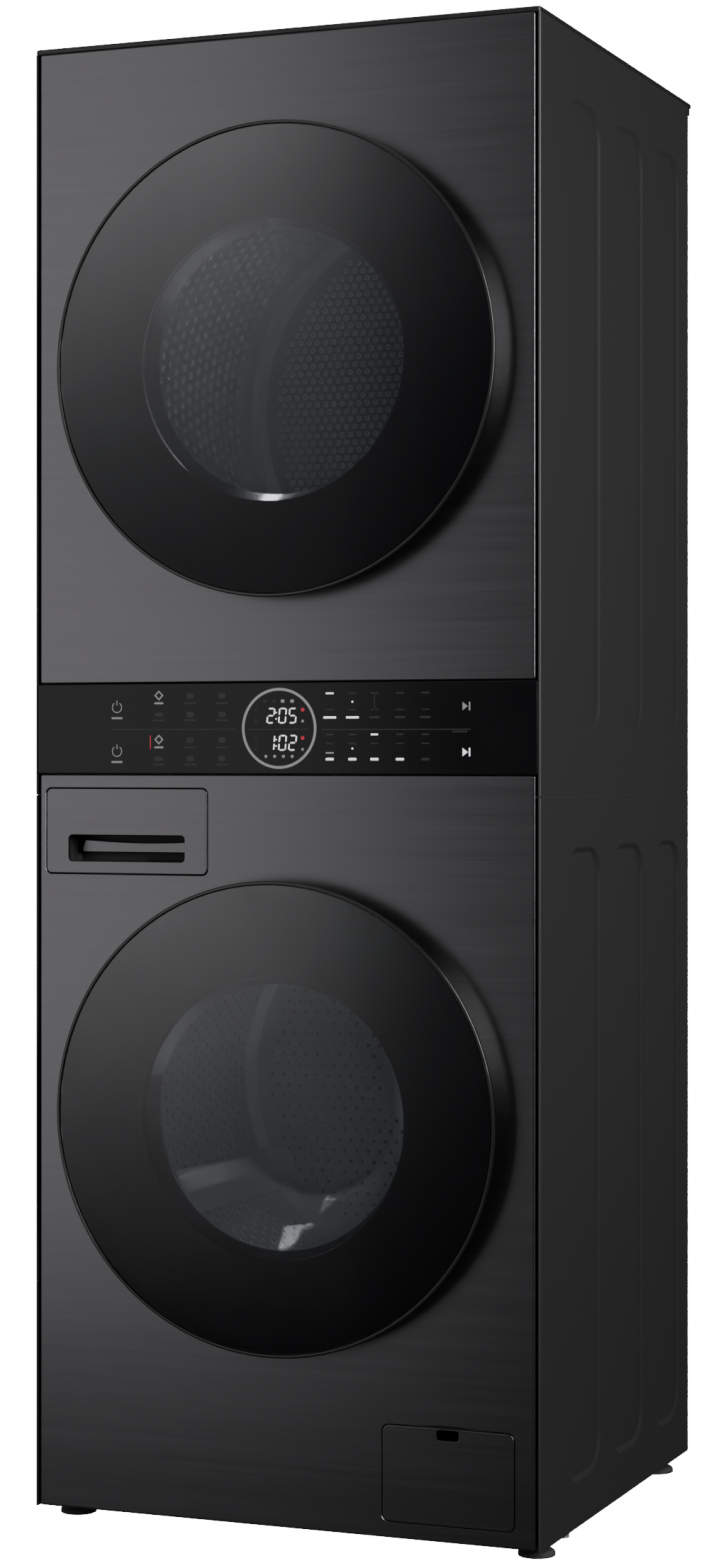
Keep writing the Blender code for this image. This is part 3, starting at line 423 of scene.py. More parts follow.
PAINTED_SHEEN = "painted_sheen"  # painted sheen: how strongly a door's plate is painted to shine, from nothing to all
BRUSH = (0.150, 0.150, 0.0011)
BLACK_STEEL = Finish(
    "black_steel", "front_steel", (0.146, 0.140, 0.148), 0.33, 1.0, Effect.BRUSHED, BRUSH, 0.62, 0.03,
    0.00001, 0.0, 0.0
)
SIDE_STEEL = Finish(
    "side_steel", "side_steel", (0.078, 0.072, 0.081), 0.33, 1.0, Effect.MOULDED, (0.0012,) * 3, 0.92,
    0.04, 0.00001, 0.25, 0.02
)
LID = Finish("lid_black", "lid", (0.010, 0.010, 0.0105), 0.42, relief=0.00003, dust=0.10)
BAND_GLASS = Finish(
    "band_glass", "control_glass", (0.005, 0.005, 0.006), 0.20, 0.0, Effect.MOULDED, (0.004,) * 3, 0.9,
    0.02, 0.0, 0.0, 0.004, 0.0, 1.30
)
DOOR_GLOSS = Finish(
    "door_gloss", "door_gloss", (0.010, 0.010, 0.011), 0.16, 0.0, Effect.MOULDED, (0.004,) * 3, 0.9,
    0.03, 0.0, 0.1, 0.004, 0.4, 1.6
)
PRINT_BLACK = Finish(
    "window_print", "door_gloss", (0.004, 0.004, 0.0045), 0.5, relief=0.0, wear=0.0, dust=0.0
)
# this glass carries a painted sheen in its coat and painted shade in its tint
SMOKED_GLASS = PaintedSheenGlass(
    "smoked_glass", "door_glass", (0.42, 0.425, 0.46), 0.01, shade=0.95, swing=0.03, ior=1.06
)
BOWL_GLASS = Glass(
    "bowl_glass", "bowl_glass", (0.90, 0.90, 0.92), 0.01, shade=0.97, swing=0.015, ior=1.22
)
GASKET = Finish("gasket_rubber", "gasket", (0.085, 0.085, 0.090), 0.62, relief=0.00004, dust=0.06)
# the steel's own brushed tone, darkened well below bare steel as painted shade of the drum's inside
DRUM_STEEL_AND_SHADE = Finish(
    "drum_steel", "drum_steel", (0.20, 0.205, 0.22), 0.15, 1.0, Effect.BRUSHED, (0.02, 0.0012, 0.02),
    0.86, 0.05, 0.00001, 0.0, 0.01
)
POLISHED = Finish(
    "polished_steel", "drum_steel", (0.80, 0.81, 0.84), 0.09, 1.0, shade=0.95, swing=0.02, relief=0.0,
    wear=0.0
)
DARK_CHROME = Finish(
    "dark_chrome", "door_gloss", (0.10, 0.10, 0.11), 0.08, 1.0, shade=0.95, swing=0.02, relief=0.0,
    wear=0.0
)
RIM_STEEL = Finish(
    "rim_steel", "drum_steel", (0.66, 0.67, 0.71), 0.36, 0.6, shade=0.9, relief=0.0, wear=0.0, dust=0.0
)
# painted shade: near-black discs in the perforations, for the shade seen through the holes
PAINTED_HOLE_SHADE = Finish("painted_hole_shade", "drum_steel", (0.008, 0.008, 0.008), 0.8, wear=0.0, dust=0.0)
GALVANISED = Finish(
    "galvanised", "galvanised", (0.42, 0.43, 0.44), 0.42, 0.9, Effect.SPANGLE, (0.011,) * 3, 0.70, 0.08,
    0.00001, 0.2, 0.10
)
TUB_GREY = Finish("tub_grey", "tub_plastic", (0.30, 0.31, 0.32), 0.55, relief=0.00004, dust=0.12)
PALE_PLASTIC = Finish(
    "pale_plastic", "light_plastic", (0.48, 0.49, 0.50), 0.42, relief=0.00002, dust=0.05
)
DARK_PLASTIC = Finish(
    "dark_plastic", "dark_plastic", (0.018, 0.018, 0.019), 0.45, relief=0.00003, dust=0.06
)
FOOT_RUBBER = Finish(
    "foot_rubber", "foot_rubber", (0.045, 0.045, 0.046), 0.55, relief=0.00006, dust=0.15, wear=0.3
)
WEIGHT_IRON = Finish(
    "weight_iron", "weight_iron", (0.30, 0.29, 0.275), 0.9, 0.0, Effect.CAST, (0.004,) * 3, 0.7, 0.05,
    0.0002, 0.3, 0.2
)
WINDING = Finish(
    "winding", "winding", (0.50, 0.22, 0.11), 0.35, 0.9, Effect.BRUSHED, (0.004, 0.0009, 0.004), 0.5,
    0.06, 0.0002
)
MOTOR_METAL = Finish(
    "motor_metal", "motor_metal", (0.34, 0.35, 0.36), 0.48, 0.9, Effect.CAST, (0.0015,) * 3, 0.8, 0.08,
    0.00004, 0.3, 0.1
)
SPRING_STEEL = Finish(
    "spring_steel", "spring_steel", (0.30, 0.30, 0.31), 0.32, 1.0, Effect.BRUSHED, (0.01, 0.01, 0.0008),
    0.8, 0.06, 0.00001
)
INLAY_GREY = Finish(
    "inlay_grey", "control_glass", (0.30, 0.30, 0.31), 0.5, relief=0.0, wear=0.0, dust=0.0, glow=0.25
)
INLAY_DIM = Finish(
    "inlay_dim", "control_glass", (0.030, 0.030, 0.032), 0.5, relief=0.0, wear=0.0, dust=0.0
)
INLAY_LIT = Finish(
    "inlay_lit", "control_glass", (0.85, 0.86, 0.90), 0.5, relief=0.0, wear=0.0, dust=0.0, glow=1.2
)
INLAY_RED = Finish(
    "inlay_red", "control_glass", (0.45, 0.02, 0.04), 0.5, relief=0.0, wear=0.0, dust=0.0, glow=0.5
)

CARRIED = {
    GALVANISED: (
        "base_pan", "dryer_base", "washer_hinge_bracket", "dryer_hinge_bracket", "washer_door_hinge",
        "dryer_door_hinge", "dryer_front_bulkhead", "dryer_rear_bulkhead", "heat_pump_module",
    ),
    TUB_GREY: ("tub_front_half", "tub_rear_half"),
    WEIGHT_IRON: ("tub_counterweight",),
    WINDING: ("motor_stator",),
    MOTOR_METAL: ("drum_spider", "motor_rotor", "dryer_motor"),
    SPRING_STEEL: ("drum_bearing", "tub_spring_left", "tub_spring_right", "motor_pulley"),
    DARK_PLASTIC: ("tub_damper_left", "tub_damper_right", "drain_pump", "blower_fan"),
    FOOT_RUBBER: ("drum_roller_left", "drum_roller_right", "drum_belt"),
    PALE_PLASTIC: ("dispenser_housing",),
}


# --------------------------------------------------------------------------------------
# Outlines and meshes
# --------------------------------------------------------------------------------------


def softened(points: Sequence[Point], radius: float, steps: int = 4) -> list[Point]:
    """Rounds every corner of a closed outline.

    Args:
        points: The outline's corners in order.
        radius: How far along each side a rounding starts, at most.
        steps: Stretches in each rounding.

    Returns:
        The rounded outline.
    """
    made: list[Point] = []
    count = len(points)
    for index, corner in enumerate(points):
        before, after = Vector(points[index - 1]), Vector(points[(index + 1) % count])
        here = Vector(corner)
        back, ahead = before - here, after - here
        reach = min(radius, 0.45 * back.length, 0.45 * ahead.length)
        start, end = here + back.normalized() * reach, here + ahead.normalized() * reach
        for step in range(steps + 1):
            t = step / steps
            point = start * (1 - t) ** 2 + here * 2 * t * (1 - t) + end * t**2
            made.append((point.x, point.y))
    return made


def turned_profile(points: Sequence[Point], radius: float, steps: int = 4) -> list[Point]:
    """Rounds a lathe profile, but not its points on the axis.

    Args:
        points: Closed profile of (radius, height); points at radius 0 lie on the axis.
        radius: The rounding.
        steps: Stretches in each rounding.

    Returns:
        The rounded profile.
    """
    rounded = softened(points, radius, steps)
    made: list[Point] = []
    for index, corner in enumerate(points):
        run = rounded[index * (steps + 1):(index + 1) * (steps + 1)]
        made += [corner] if corner[0] <= 0 else run
    return made


def rounded_rect(low: Point, high: Point, radius: float, steps: int = 8) -> list[Point]:
    """The outline of a rectangle with arcs for corners, anticlockwise from the right.

    Args:
        low: The lowest corner.
        high: The highest corner.
        radius: The corners' radius.
        steps: Stretches in each corner.

    Returns:
        The outline.
    """
    points = []
    for quarter, (x, y) in enumerate(
        ((high[0], high[1]), (low[0], high[1]), (low[0], low[1]), (high[0], low[1]))
    ):
        centre_x = x - radius if x == high[0] else x + radius
        centre_y = y - radius if y == high[1] else y + radius
        for step in range(steps + 1):
            turn = (quarter + step / steps) * pi / 2
            points.append((centre_x + radius * cos(turn), centre_y + radius * sin(turn)))
    return points


def grown_rect(low: Point, high: Point, radius: float, grow: float, steps: int = 8) -> list[Point]:
    """A rounded rectangle moved outwards by an amount, or inwards by a negative one."""
    corner = max(radius + grow, 0.0002)
    return rounded_rect((low[0] - grow, low[1] - grow), (high[0] + grow, high[1] + grow), corner, steps)


def circle(x: float, y: float, radius: float, count: int) -> list[Point]:
    """Points of a circle, anticlockwise."""
    turns = [2 * pi * index / count for index in range(count)]
    return [(x + radius * cos(turn), y + radius * sin(turn)) for turn in turns]


def to_object(
    name: str, shape: bmesh.types.BMesh, *finishes: Finish, outward: bool = True
) -> bpy.types.Object:
    """Turns a bmesh into an object in the scene, and frees the bmesh.

    Args:
        name: The piece's name.
        shape: The mesh under construction.
        finishes: The finishes of its material slots.
        outward: Whether to recalculate the normals.

    Returns:
        The new object, at the origin.
    """
    bmesh.ops.remove_doubles(shape, verts=shape.verts, dist=0.000002)
    if outward:
        bmesh.ops.recalc_face_normals(shape, faces=shape.faces)
    mesh = bpy.data.meshes.new(name)
    shape.to_mesh(mesh)
    shape.free()
    for finish in finishes:
        mesh.materials.append(finish.material())
    obj = bpy.data.objects.new(name, mesh)
    bpy.context.scene.collection.objects.link(obj)
    return obj


def bake(piece: bpy.types.Object) -> None:
    """Replaces a piece's mesh by the one that its modifiers give, and removes them.

    Args:
        piece: The object.
    """
    graph = bpy.context.evaluated_depsgraph_get()
    mesh = bpy.data.meshes.new_from_object(
        piece.evaluated_get(graph), preserve_all_data_layers=True, depsgraph=graph
    )
    old = piece.data
    piece.modifiers.clear()
    piece.data = mesh
    bpy.data.meshes.remove(old)
    mesh.name = piece.name


def shade(piece: bpy.types.Object) -> bpy.types.Object:
    """Shades a piece smooth, with its large faces kept flat, and bakes its modifiers.

    Args:
        piece: The object.

    Returns:
        The same object.
    """
    if piece.modifiers:
        bake(piece)
    piece.data.shade_smooth()
    piece.data.set_sharp_from_angle(angle=SMOOTH_ANGLE)
    weighted = piece.modifiers.new("flat faces", "WEIGHTED_NORMAL")
    weighted.keep_sharp = True
    bake(piece)
    return piece


def dress(piece: bpy.types.Object, finish: Finish, body: str, *nodes: str) -> bpy.types.Object:
    """Puts a piece on its body and hides the solids that it stands for.

    Args:
        piece: The finished object.
        finish: The piece's finish; not used.
        body: The body that it rides on.
        nodes: The solids that it replaces.

    Returns:
        The same object.
    """
    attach(piece, body)
    if nodes:
        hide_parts(*nodes)
    LOG.info("%s: %d faces on %s", piece.name, len(piece.data.polygons), body)
    return piece


def joined(name: str, pieces: Sequence[bpy.types.Object]) -> bpy.types.Object:
    """Joins baked pieces into one object.

    Args:
        name: The name of the result.
        pieces: Objects with plain meshes at the origin.

    Returns:
        The joined object.
    """
    with bpy.context.temp_override(active_object=pieces[0], selected_editable_objects=list(pieces)):
        bpy.ops.object.join()
    pieces[0].name = pieces[0].data.name = name
    return pieces[0]


@dataclass
class Sheet:
    """A sheet bent ring by ring; place turns (across, up, out) into a point."""

    place: Place
    shape: bmesh.types.BMesh = field(default_factory=bmesh.new)

    def ring(self, points: Sequence[Point], out: float) -> Ring:
        """Adds the points of one closed outline at a height above the flat."""
        return [self.shape.verts.new(self.place(x, y, out)) for x, y in points]

    def loft(self, *rings: Ring, material: int = 0) -> None:
        """Joins each ring to the next with a band of quads."""
        for first, second in zip(rings, rings[1:]):
            for index in range(len(first)):
                corners = (first[index - 1], first[index], second[index], second[index - 1])
                self.shape.faces.new(corners).material_index = material

    def fill(self, *rings: Ring) -> None:
        """Fills the flat area inside the first ring and outside the others."""
        edges = []
        for ring in rings:
            for index in range(len(ring)):
                ends = (ring[index - 1], ring[index])
                edges.append(self.shape.edges.get(ends) or self.shape.edges.new(ends))
        bmesh.ops.triangle_fill(self.shape, use_beauty=True, use_dissolve=False, edges=edges)

    def steps(self, box: Box, corner: float, profile: Iterable[Point], count: int = 8) -> list[Ring]:
        """Takes a rounded rectangle through a profile.

        Args:
            box: The rectangle's lowest and highest corner.
            corner: Its corners' radius.
            profile: How far it grows and how high it lies at each ring.
            count: Stretches in each corner.

        Returns:
            The rings, joined each to the next.
        """
        rings = [self.ring(grown_rect(*box, corner, grow, count), out) for grow, out in profile]
        self.loft(*rings)
        return rings

    def cap(self, ring: Ring, material: int = 0) -> None:
        """Closes a convex ring with one face."""
        self.shape.faces.new(ring).material_index = material

    def piece(self, name: str, finish: Finish, thickness: float) -> bpy.types.Object:
        """Gives the sheet its thickness, inwards from what was drawn.

        Args:
            name: The piece's name.
            finish: Its finish.
            thickness: The sheet's thickness.

        Returns:
            The shaded object.
        """
        bmesh.ops.remove_doubles(self.shape, verts=self.shape.verts, dist=0.000002)
        bmesh.ops.recalc_face_normals(self.shape, faces=self.shape.faces)
        out = (self.place(0, 0, 1) - self.place(0, 0, 0)).normalized()
        facing = sum((face.normal.dot(out) * face.calc_area() for face in self.shape.faces))
        if facing < 0:
            bmesh.ops.reverse_faces(self.shape, faces=self.shape.faces)
        made = to_object(name, self.shape, finish, outward=False)
        wall = made.modifiers.new("wall", "SOLIDIFY")
        wall.thickness = thickness
        wall.offset = -1
        wall.use_even_offset = True
        return shade(made)


def rounded_edge(edge: float, steps: int, flat: float = 0.0) -> list[Point]:
    """The profile of a rounded edge, for Sheet.steps.

    Args:
        edge: Its radius.
        steps: Stretches in the rounding.
        flat: The height of the flat that it starts from.

    Returns:
        Growth and height from the flat to the upright side.
    """
    turns = [pi / 2 * step / steps for step in range(steps + 1)]
    return [(-edge * (1 - sin(turn)), flat - edge * (1 - cos(turn))) for turn in turns]


def eased(share: float) -> float:
    """Turns an even run from 0 to 1 into one with soft ends."""
    return 3 * share**2 - 2 * share**3


def level_place(x: float = 0.0, y: float = 0.0) -> Place:
    """Draws on a level plane round a point: across is X, up is Y, out is Z."""
    return lambda across, up, out: Vector((x + across, y + up, out))


def axis_height(node: str) -> float:
    """The height of a round solid's middle."""
    low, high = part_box(node)
    return (low.z + high.z) / 2


def front_place(y: float) -> Place:
    """Draws on a plane that faces the front: across is X, up is Z."""
    return lambda across, up, out: Vector((across, y - out, up))


def back_place(y: float) -> Place:
    """Draws on a plane that faces the back: across is -X, up is Z."""
    return lambda across, up, out: Vector((-across, y + out, up))


def side_place(side: int, x: float) -> Place:
    """Draws on a side wall: across is Y, up is Z; side is -1 for the left."""
    return lambda across, up, out: Vector((side * (x + out), across, up))


def turned(
    name: str, profile: Sequence[Point], finish: Finish, x: float = 0.0, z: float = 0.0,
    steps: int = ROUND_STEPS
) -> bpy.types.Object:
    """A body of revolution about a line along Y.

    Args:
        name: The piece's name.
        profile: Closed profile of (radius, y).
        finish: Its finish.
        x: Where the axis is across.
        z: Where the axis is up.
        steps: Sides of the round.

    Returns:
        The object, not yet shaded.
    """
    shape = bmesh.new()
    spin_profile(shape, profile, lambda r, turn, y: (x + r * sin(turn), y, z + r * cos(turn)), steps)
    return to_object(name, shape, finish)


def turned_upright(
    name: str, profile: Sequence[Point], finish: Finish, x: float, y: float, steps: int = SMALL_STEPS
) -> bpy.types.Object:
    """A body of revolution about an upright line, from a closed profile of (radius, z).

    Args:
        name: The piece's name.
        profile: Closed profile of (radius, z).
        finish: Its finish.
        x: Where the axis is across.
        y: Where the axis is in depth.
        steps: Sides of the round.

    Returns:
        The object, not yet shaded.
    """
    shape = bmesh.new()
    spin_profile(shape, profile, lambda r, turn, z: (x + r * cos(turn), y + r * sin(turn), z), steps)
    return to_object(name, shape, finish)


def spin_profile(
    shape: bmesh.types.BMesh, profile: Sequence[Point], place: Callable[[float, float, float], tuple],
    steps: int
) -> None:
    """Spins a closed profile into a mesh, with shared points on the axis.

    Args:
        shape: The mesh that the faces go in.
        profile: Closed profile of (radius, height).
        place: Turns (radius, turn, height) into a point.
        steps: Sides of the round.
    """
    rings = []
    for radius, height in profile:
        if radius <= 0:
            rings.append([shape.verts.new(place(0.0, 0.0, height))] * steps)
        else:
            rings.append(
                [shape.verts.new(place(radius, 2 * pi * i / steps, height)) for i in range(steps)]
            )
    for first, second in zip(rings, rings[1:] + rings[:1]):
        for index in range(steps):
            corners = (first[index - 1], first[index], second[index], second[index - 1])
            unique = tuple(dict.fromkeys(corners))
            if len(unique) > 2:
                shape.faces.new(unique)


def add_prism(
    shape: bmesh.types.BMesh, outline: Sequence[Point], place: Place, low: float, high: float,
    material: int = 0
) -> None:
    """Adds a flat outline thickened between two heights.

    Args:
        shape: The mesh that the faces go in.
        outline: The outline in the plane.
        place: The plane.
        low: The height of its back.
        high: The height of its front.
        material: The material's number.
    """
    back = [shape.verts.new(place(x, y, low)) for x, y in outline]
    front = [shape.verts.new(place(x, y, high)) for x, y in outline]
    faces = [shape.faces.new(back), shape.faces.new(front)]
    for index in range(len(outline)):
        faces.append(shape.faces.new((back[index - 1], back[index], front[index], front[index - 1])))
    for face in faces:
        face.material_index = material


def add_box(shape: bmesh.types.BMesh, low: Sequence[float], high: Sequence[float]) -> None:
    """Adds a box between two corners.

    Args:
        shape: The mesh that the faces go in.
        low: The lowest corner.
        high: The highest corner.
    """
    matrix = Matrix.Translation((Vector(low) + Vector(high)) / 2)
    size = Vector(high) - Vector(low)
    bmesh.ops.create_cube(shape, size=1.0, matrix=matrix @ Matrix.Diagonal((*size, 1.0)))


def soft_box(
    name: str, low: Sequence[float], high: Sequence[float], finish: Finish, edge: float
) -> bpy.types.Object:
    """A box with rounded edges.

    Args:
        name: The piece's name.
        low: Its lowest corner.
        high: Its highest corner.
        finish: Its finish.
        edge: The rounding of its edges.

    Returns:
        The object, with a live bevel.
    """
    shape = bmesh.new()
    add_box(shape, low, high)
    made = to_object(name, shape, finish)
    bevel = made.modifiers.new("edges", "BEVEL")
    bevel.width = edge
    bevel.segments = 4
    return made


def carve(piece: bpy.types.Object, cutter: bpy.types.Object, operation: str = "DIFFERENCE") -> None:
    """Cuts a piece by another, or joins it, and removes the other.

    Args:
        piece: The object that stays.
        cutter: The object that goes.
        operation: DIFFERENCE or UNION.
    """
    modifier = piece.modifiers.new("cut", "BOOLEAN")
    modifier.operation = operation
    modifier.object = cutter
    bake(piece)
    bpy.data.objects.remove(cutter, do_unlink=True)


# --------------------------------------------------------------------------------------
# Geometry Nodes
# --------------------------------------------------------------------------------------


class Pattern(Enum):
    """The repeated details that Geometry Nodes lay out."""

    DRUM_SPOTS = "drum_spots"
    PLATE_SPOTS = "plate_spots"
    FASTENERS = "fasteners"
    SLATS = "slats"


class PatternTree(NodeMaker):
    """A Geometry Nodes tree with named inputs."""

    KINDS = {float: "NodeSocketFloat", int: "NodeSocketInt", Vector: "NodeSocketVector"}

    def __init__(self, pattern: Pattern, inputs: dict[str, type]) -> None:
        """Makes the tree and its sockets.

        Args:
            pattern: The pattern that it lays out.
            inputs: The type of each named input.
        """
        super().__init__(bpy.data.node_groups.new(pattern.value, "GeometryNodeTree"))
        face = self.tree.interface
        face.new_socket("Geometry", in_out="INPUT", socket_type="NodeSocketGeometry")
        for name, kind in inputs.items():
            face.new_socket(name, in_out="INPUT", socket_type=self.KINDS[kind])
        face.new_socket("Material", in_out="INPUT", socket_type="NodeSocketMaterial")
        face.new_socket("Geometry", in_out="OUTPUT", socket_type="NodeSocketGeometry")
        self.given = self.add("NodeGroupInput").outputs

    def finish_with(self, instances: bpy.types.NodeSocket) -> None:
        """Realizes the instances, sets the material and ends the tree.

        Args:
            instances: The instances that the tree laid out.
        """
        real = self.add("GeometryNodeRealizeInstances", {0: instances})
        dressed = self.add(
            "GeometryNodeSetMaterial", {"Geometry": real.outputs[0], "Material": self.given["Material"]}
        )
        self.add("NodeGroupOutput", {0: dressed.outputs[0]})

    def spot(self) -> bpy.types.NodeSocket:
        """Adds a low round frustum from the inputs Spot Radius, Top Radius, Rise and Sides."""
        inputs = {
            "Vertices": self.given["Sides"],
            "Radius Bottom": self.given["Spot Radius"],
            "Radius Top": self.given["Top Radius"],
            "Depth": self.given["Rise"],
        }
        return self.add("GeometryNodeMeshCone", inputs).outputs["Mesh"]

    def index_grid(self) -> tuple[bpy.types.NodeSocket, bpy.types.NodeSocket, bpy.types.NodeSocket]:
        """Adds Rows times Columns points.

        Returns:
            The points, each point's column (half a step on in odd rows) and its row.
        """
        count = self.math("MULTIPLY", self.given["Rows"], self.given["Columns"])
        points = self.add("GeometryNodePoints", {"Count": count}).outputs[0]
        index = self.add("GeometryNodeInputIndex").outputs[0]
        row = self.math(
            "FLOOR", self.math("DIVIDE", self.math("ADD", index, 0.5), self.given["Columns"])
        )
        column = self.math("SUBTRACT", index, self.math("MULTIPLY", row, self.given["Columns"]))
        odd = self.math("MODULO", row, 2.0)
        return points, self.math("MULTIPLY_ADD", odd, 0.5, column), row


SPOT_INPUTS = {
    "Rows": int, "Columns": int, "Pitch": float, "Spot Radius": float, "Top Radius": float,
    "Rise": float, "Sides": int, "Axis Height": float, "Start": float,
}


def drum_spots_tree() -> bpy.types.NodeTree:
    """Builds staggered spots on the inside of a round drum whose axis is along Y.

    Returns:
        The tree.
    """
    tree = PatternTree(Pattern.DRUM_SPOTS, SPOT_INPUTS | {"Radius": float})
    points, column, row = tree.index_grid()
    turn = tree.math("DIVIDE", tree.math("MULTIPLY", column, 2 * pi), tree.given["Columns"])
    across, up = tree.math("SINE", turn), tree.math("COSINE", turn)
    along = tree.math("MULTIPLY_ADD", row, tree.given["Pitch"], tree.given["Start"])
    x = tree.math("MULTIPLY", across, tree.given["Radius"])
    z = tree.math("MULTIPLY_ADD", up, tree.given["Radius"], tree.given["Axis Height"])
    place = tree.add("ShaderNodeCombineXYZ", {0: x, 1: along, 2: z}).outputs[0]
    inward = tree.add(
        "ShaderNodeCombineXYZ",
        {0: tree.math("MULTIPLY", across, -1.0), 2: tree.math("MULTIPLY", up, -1.0)}
    ).outputs[0]
    placed = tree.add("GeometryNodeSetPosition", {"Geometry": points, "Position": place}).outputs[0]
    aim = tree.add("FunctionNodeAlignRotationToVector", {"Vector": inward}, axis="Z").outputs[0]
    inputs = {"Points": placed, "Instance": tree.spot(), "Rotation": aim}
    tree.finish_with(tree.add("GeometryNodeInstanceOnPoints", inputs).outputs[0])
    return tree.tree


def plate_spots_tree() -> bpy.types.NodeTree:
    """Builds a field of staggered spots between two circles, on a plate that faces the front.

    Returns:
        The tree.
    """
    tree = PatternTree(Pattern.PLATE_SPOTS, SPOT_INPUTS | {"Hub": float, "Reach": float})
    points, column, row = tree.index_grid()
    half_columns = tree.math("MULTIPLY", tree.given["Columns"], 0.5)
    half_rows = tree.math("MULTIPLY", tree.given["Rows"], 0.5)
    x = tree.math("MULTIPLY", tree.math("SUBTRACT", column, half_columns), tree.given["Pitch"])
    row_pitch = tree.math("MULTIPLY", tree.given["Pitch"], sqrt(3) / 2)
    up = tree.math("MULTIPLY", tree.math("SUBTRACT", row, half_rows), row_pitch)
    reach = tree.math(
        "SQRT", tree.math("ADD", tree.math("MULTIPLY", x, x), tree.math("MULTIPLY", up, up))
    )
    outside = tree.math("GREATER_THAN", reach, tree.given["Reach"])
    inside = tree.math("LESS_THAN", reach, tree.given["Hub"])
    z = tree.math("ADD", up, tree.given["Axis Height"])
    place = tree.add("ShaderNodeCombineXYZ", {0: x, 1: tree.given["Start"], 2: z}).outputs[0]
    placed = tree.add("GeometryNodeSetPosition", {"Geometry": points, "Position": place}).outputs[0]
    unwanted = tree.math("MAXIMUM", outside, inside)
    drop = tree.add("GeometryNodeDeleteGeometry", {"Geometry": placed, "Selection": unwanted})
    spots = tree.add(
        "GeometryNodeInstanceOnPoints",
        {"Points": drop.outputs[0], "Instance": tree.spot(), "Rotation": (pi / 2, 0, 0)}
    )
    tree.finish_with(spots.outputs[0])
    return tree.tree


def fasteners_tree() -> bpy.types.NodeTree:
    """Builds a domed screw head with a cross recess at every point of the input mesh.

    Returns:
        The tree.
    """
    tree = PatternTree(Pattern.FASTENERS, {"Facing": Vector, "Head Radius": float, "Head Height": float})
    radius, height = tree.given["Head Radius"], tree.given["Head Height"]
    inner = tree.math("MULTIPLY", radius, 0.72)
    low = tree.math("MULTIPLY", height, 0.55)
    skirt = tree.add(
        "GeometryNodeMeshCone",
        {"Vertices": 20, "Radius Bottom": radius, "Radius Top": radius, "Depth": low}
    ).outputs["Mesh"]
    dome = tree.add(
        "GeometryNodeMeshCone",
        {
            "Vertices": 20, "Radius Bottom": radius, "Radius Top": inner,
            "Depth": tree.math("SUBTRACT", height, low)
        },
    ).outputs["Mesh"]
    lift = tree.add("ShaderNodeCombineXYZ", {2: low}).outputs[0]
    raised = tree.add("GeometryNodeTransform", {"Geometry": dome, "Translation": lift}).outputs[0]
    head = tree.add("GeometryNodeJoinGeometry")
    bar_size = tree.add(
        "ShaderNodeCombineXYZ",
        {
            0: tree.math("MULTIPLY", radius, 1.1), 1: tree.math("MULTIPLY", radius, 0.20),
            2: tree.math("MULTIPLY", height, 0.12)
        },
    ).outputs[0]
    bar = tree.add("GeometryNodeMeshCube", {"Size": bar_size}).outputs[0]
    top = tree.add("ShaderNodeCombineXYZ", {2: height}).outputs[0]
    for turn in (0.0, pi / 2):
        cross = tree.add(
            "GeometryNodeTransform", {"Geometry": bar, "Translation": top, "Rotation": (0, 0, turn)}
        )
        tree.feed(head, {0: cross.outputs[0]})
    for part in (skirt, raised):
        tree.feed(head, {0: part})
    aim = tree.add(
        "FunctionNodeAlignRotationToVector", {"Vector": tree.given["Facing"]}, axis="Z"
    ).outputs[0]
    inputs = {"Points": tree.given["Geometry"], "Instance": head.outputs[0], "Rotation": aim}
    tree.finish_with(tree.add("GeometryNodeInstanceOnPoints", inputs).outputs[0])
    return tree.tree


def slats_tree() -> bpy.types.NodeTree:
    """Builds a row of tilted slats from a start point, one every step.

    Returns:
        The tree.
    """
    inputs = {"Count": int, "Origin": Vector, "Step": Vector, "Size": Vector, "Tilt": Vector}
    tree = PatternTree(Pattern.SLATS, inputs)
    line = tree.add(
        "GeometryNodeMeshLine",
        {
            "Count": tree.given["Count"], "Start Location": tree.given["Origin"],
            "Offset": tree.given["Step"]
        },
    ).outputs[0]
    slat = tree.add("GeometryNodeMeshCube", {"Size": tree.given["Size"]}).outputs[0]
    aim = tree.add("FunctionNodeEulerToRotation", {0: tree.given["Tilt"]}).outputs[0]
    slats = tree.add("GeometryNodeInstanceOnPoints", {"Points": line, "Instance": slat, "Rotation": aim})
    tree.finish_with(slats.outputs[0])
    return tree.tree


TREE_BUILDERS = {
    Pattern.DRUM_SPOTS: drum_spots_tree,
    Pattern.PLATE_SPOTS: plate_spots_tree,
    Pattern.FASTENERS: fasteners_tree,
    Pattern.SLATS: slats_tree,
}


def laid_out(
    name: str, pattern: Pattern, finish: Finish, values: dict[str, object],
    points: Iterable[Sequence[float]] = ()
) -> bpy.types.Object:
    """Runs a pattern's tree and keeps its result as a plain mesh.

    Args:
        name: The piece's name.
        pattern: The pattern.
        finish: The finish of what it lays out.
        values: The tree's inputs by name.
        points: Points of the input mesh, where the pattern takes them.

    Returns:
        The baked object.
    """
    tree = bpy.data.node_groups.get(pattern.value) or TREE_BUILDERS[pattern]()
    mesh = bpy.data.meshes.new(name)
    mesh.from_pydata([tuple(point) for point in points], [], [])
    piece = bpy.data.objects.new(name, mesh)
    bpy.context.scene.collection.objects.link(piece)
    modifier = piece.modifiers.new("layout", "NODES")
    modifier.node_group = tree
    for item in tree.interface.items_tree:
        if item.in_out == "INPUT" and item.name in values:
            modifier[item.identifier] = values[item.name]
        elif item.in_out == "INPUT" and item.name == "Material":
            modifier[item.identifier] = finish.material()
    bake(piece)
    piece.data.shade_smooth()
    piece.data.set_sharp_from_angle(angle=SMOOTH_ANGLE)
    return piece


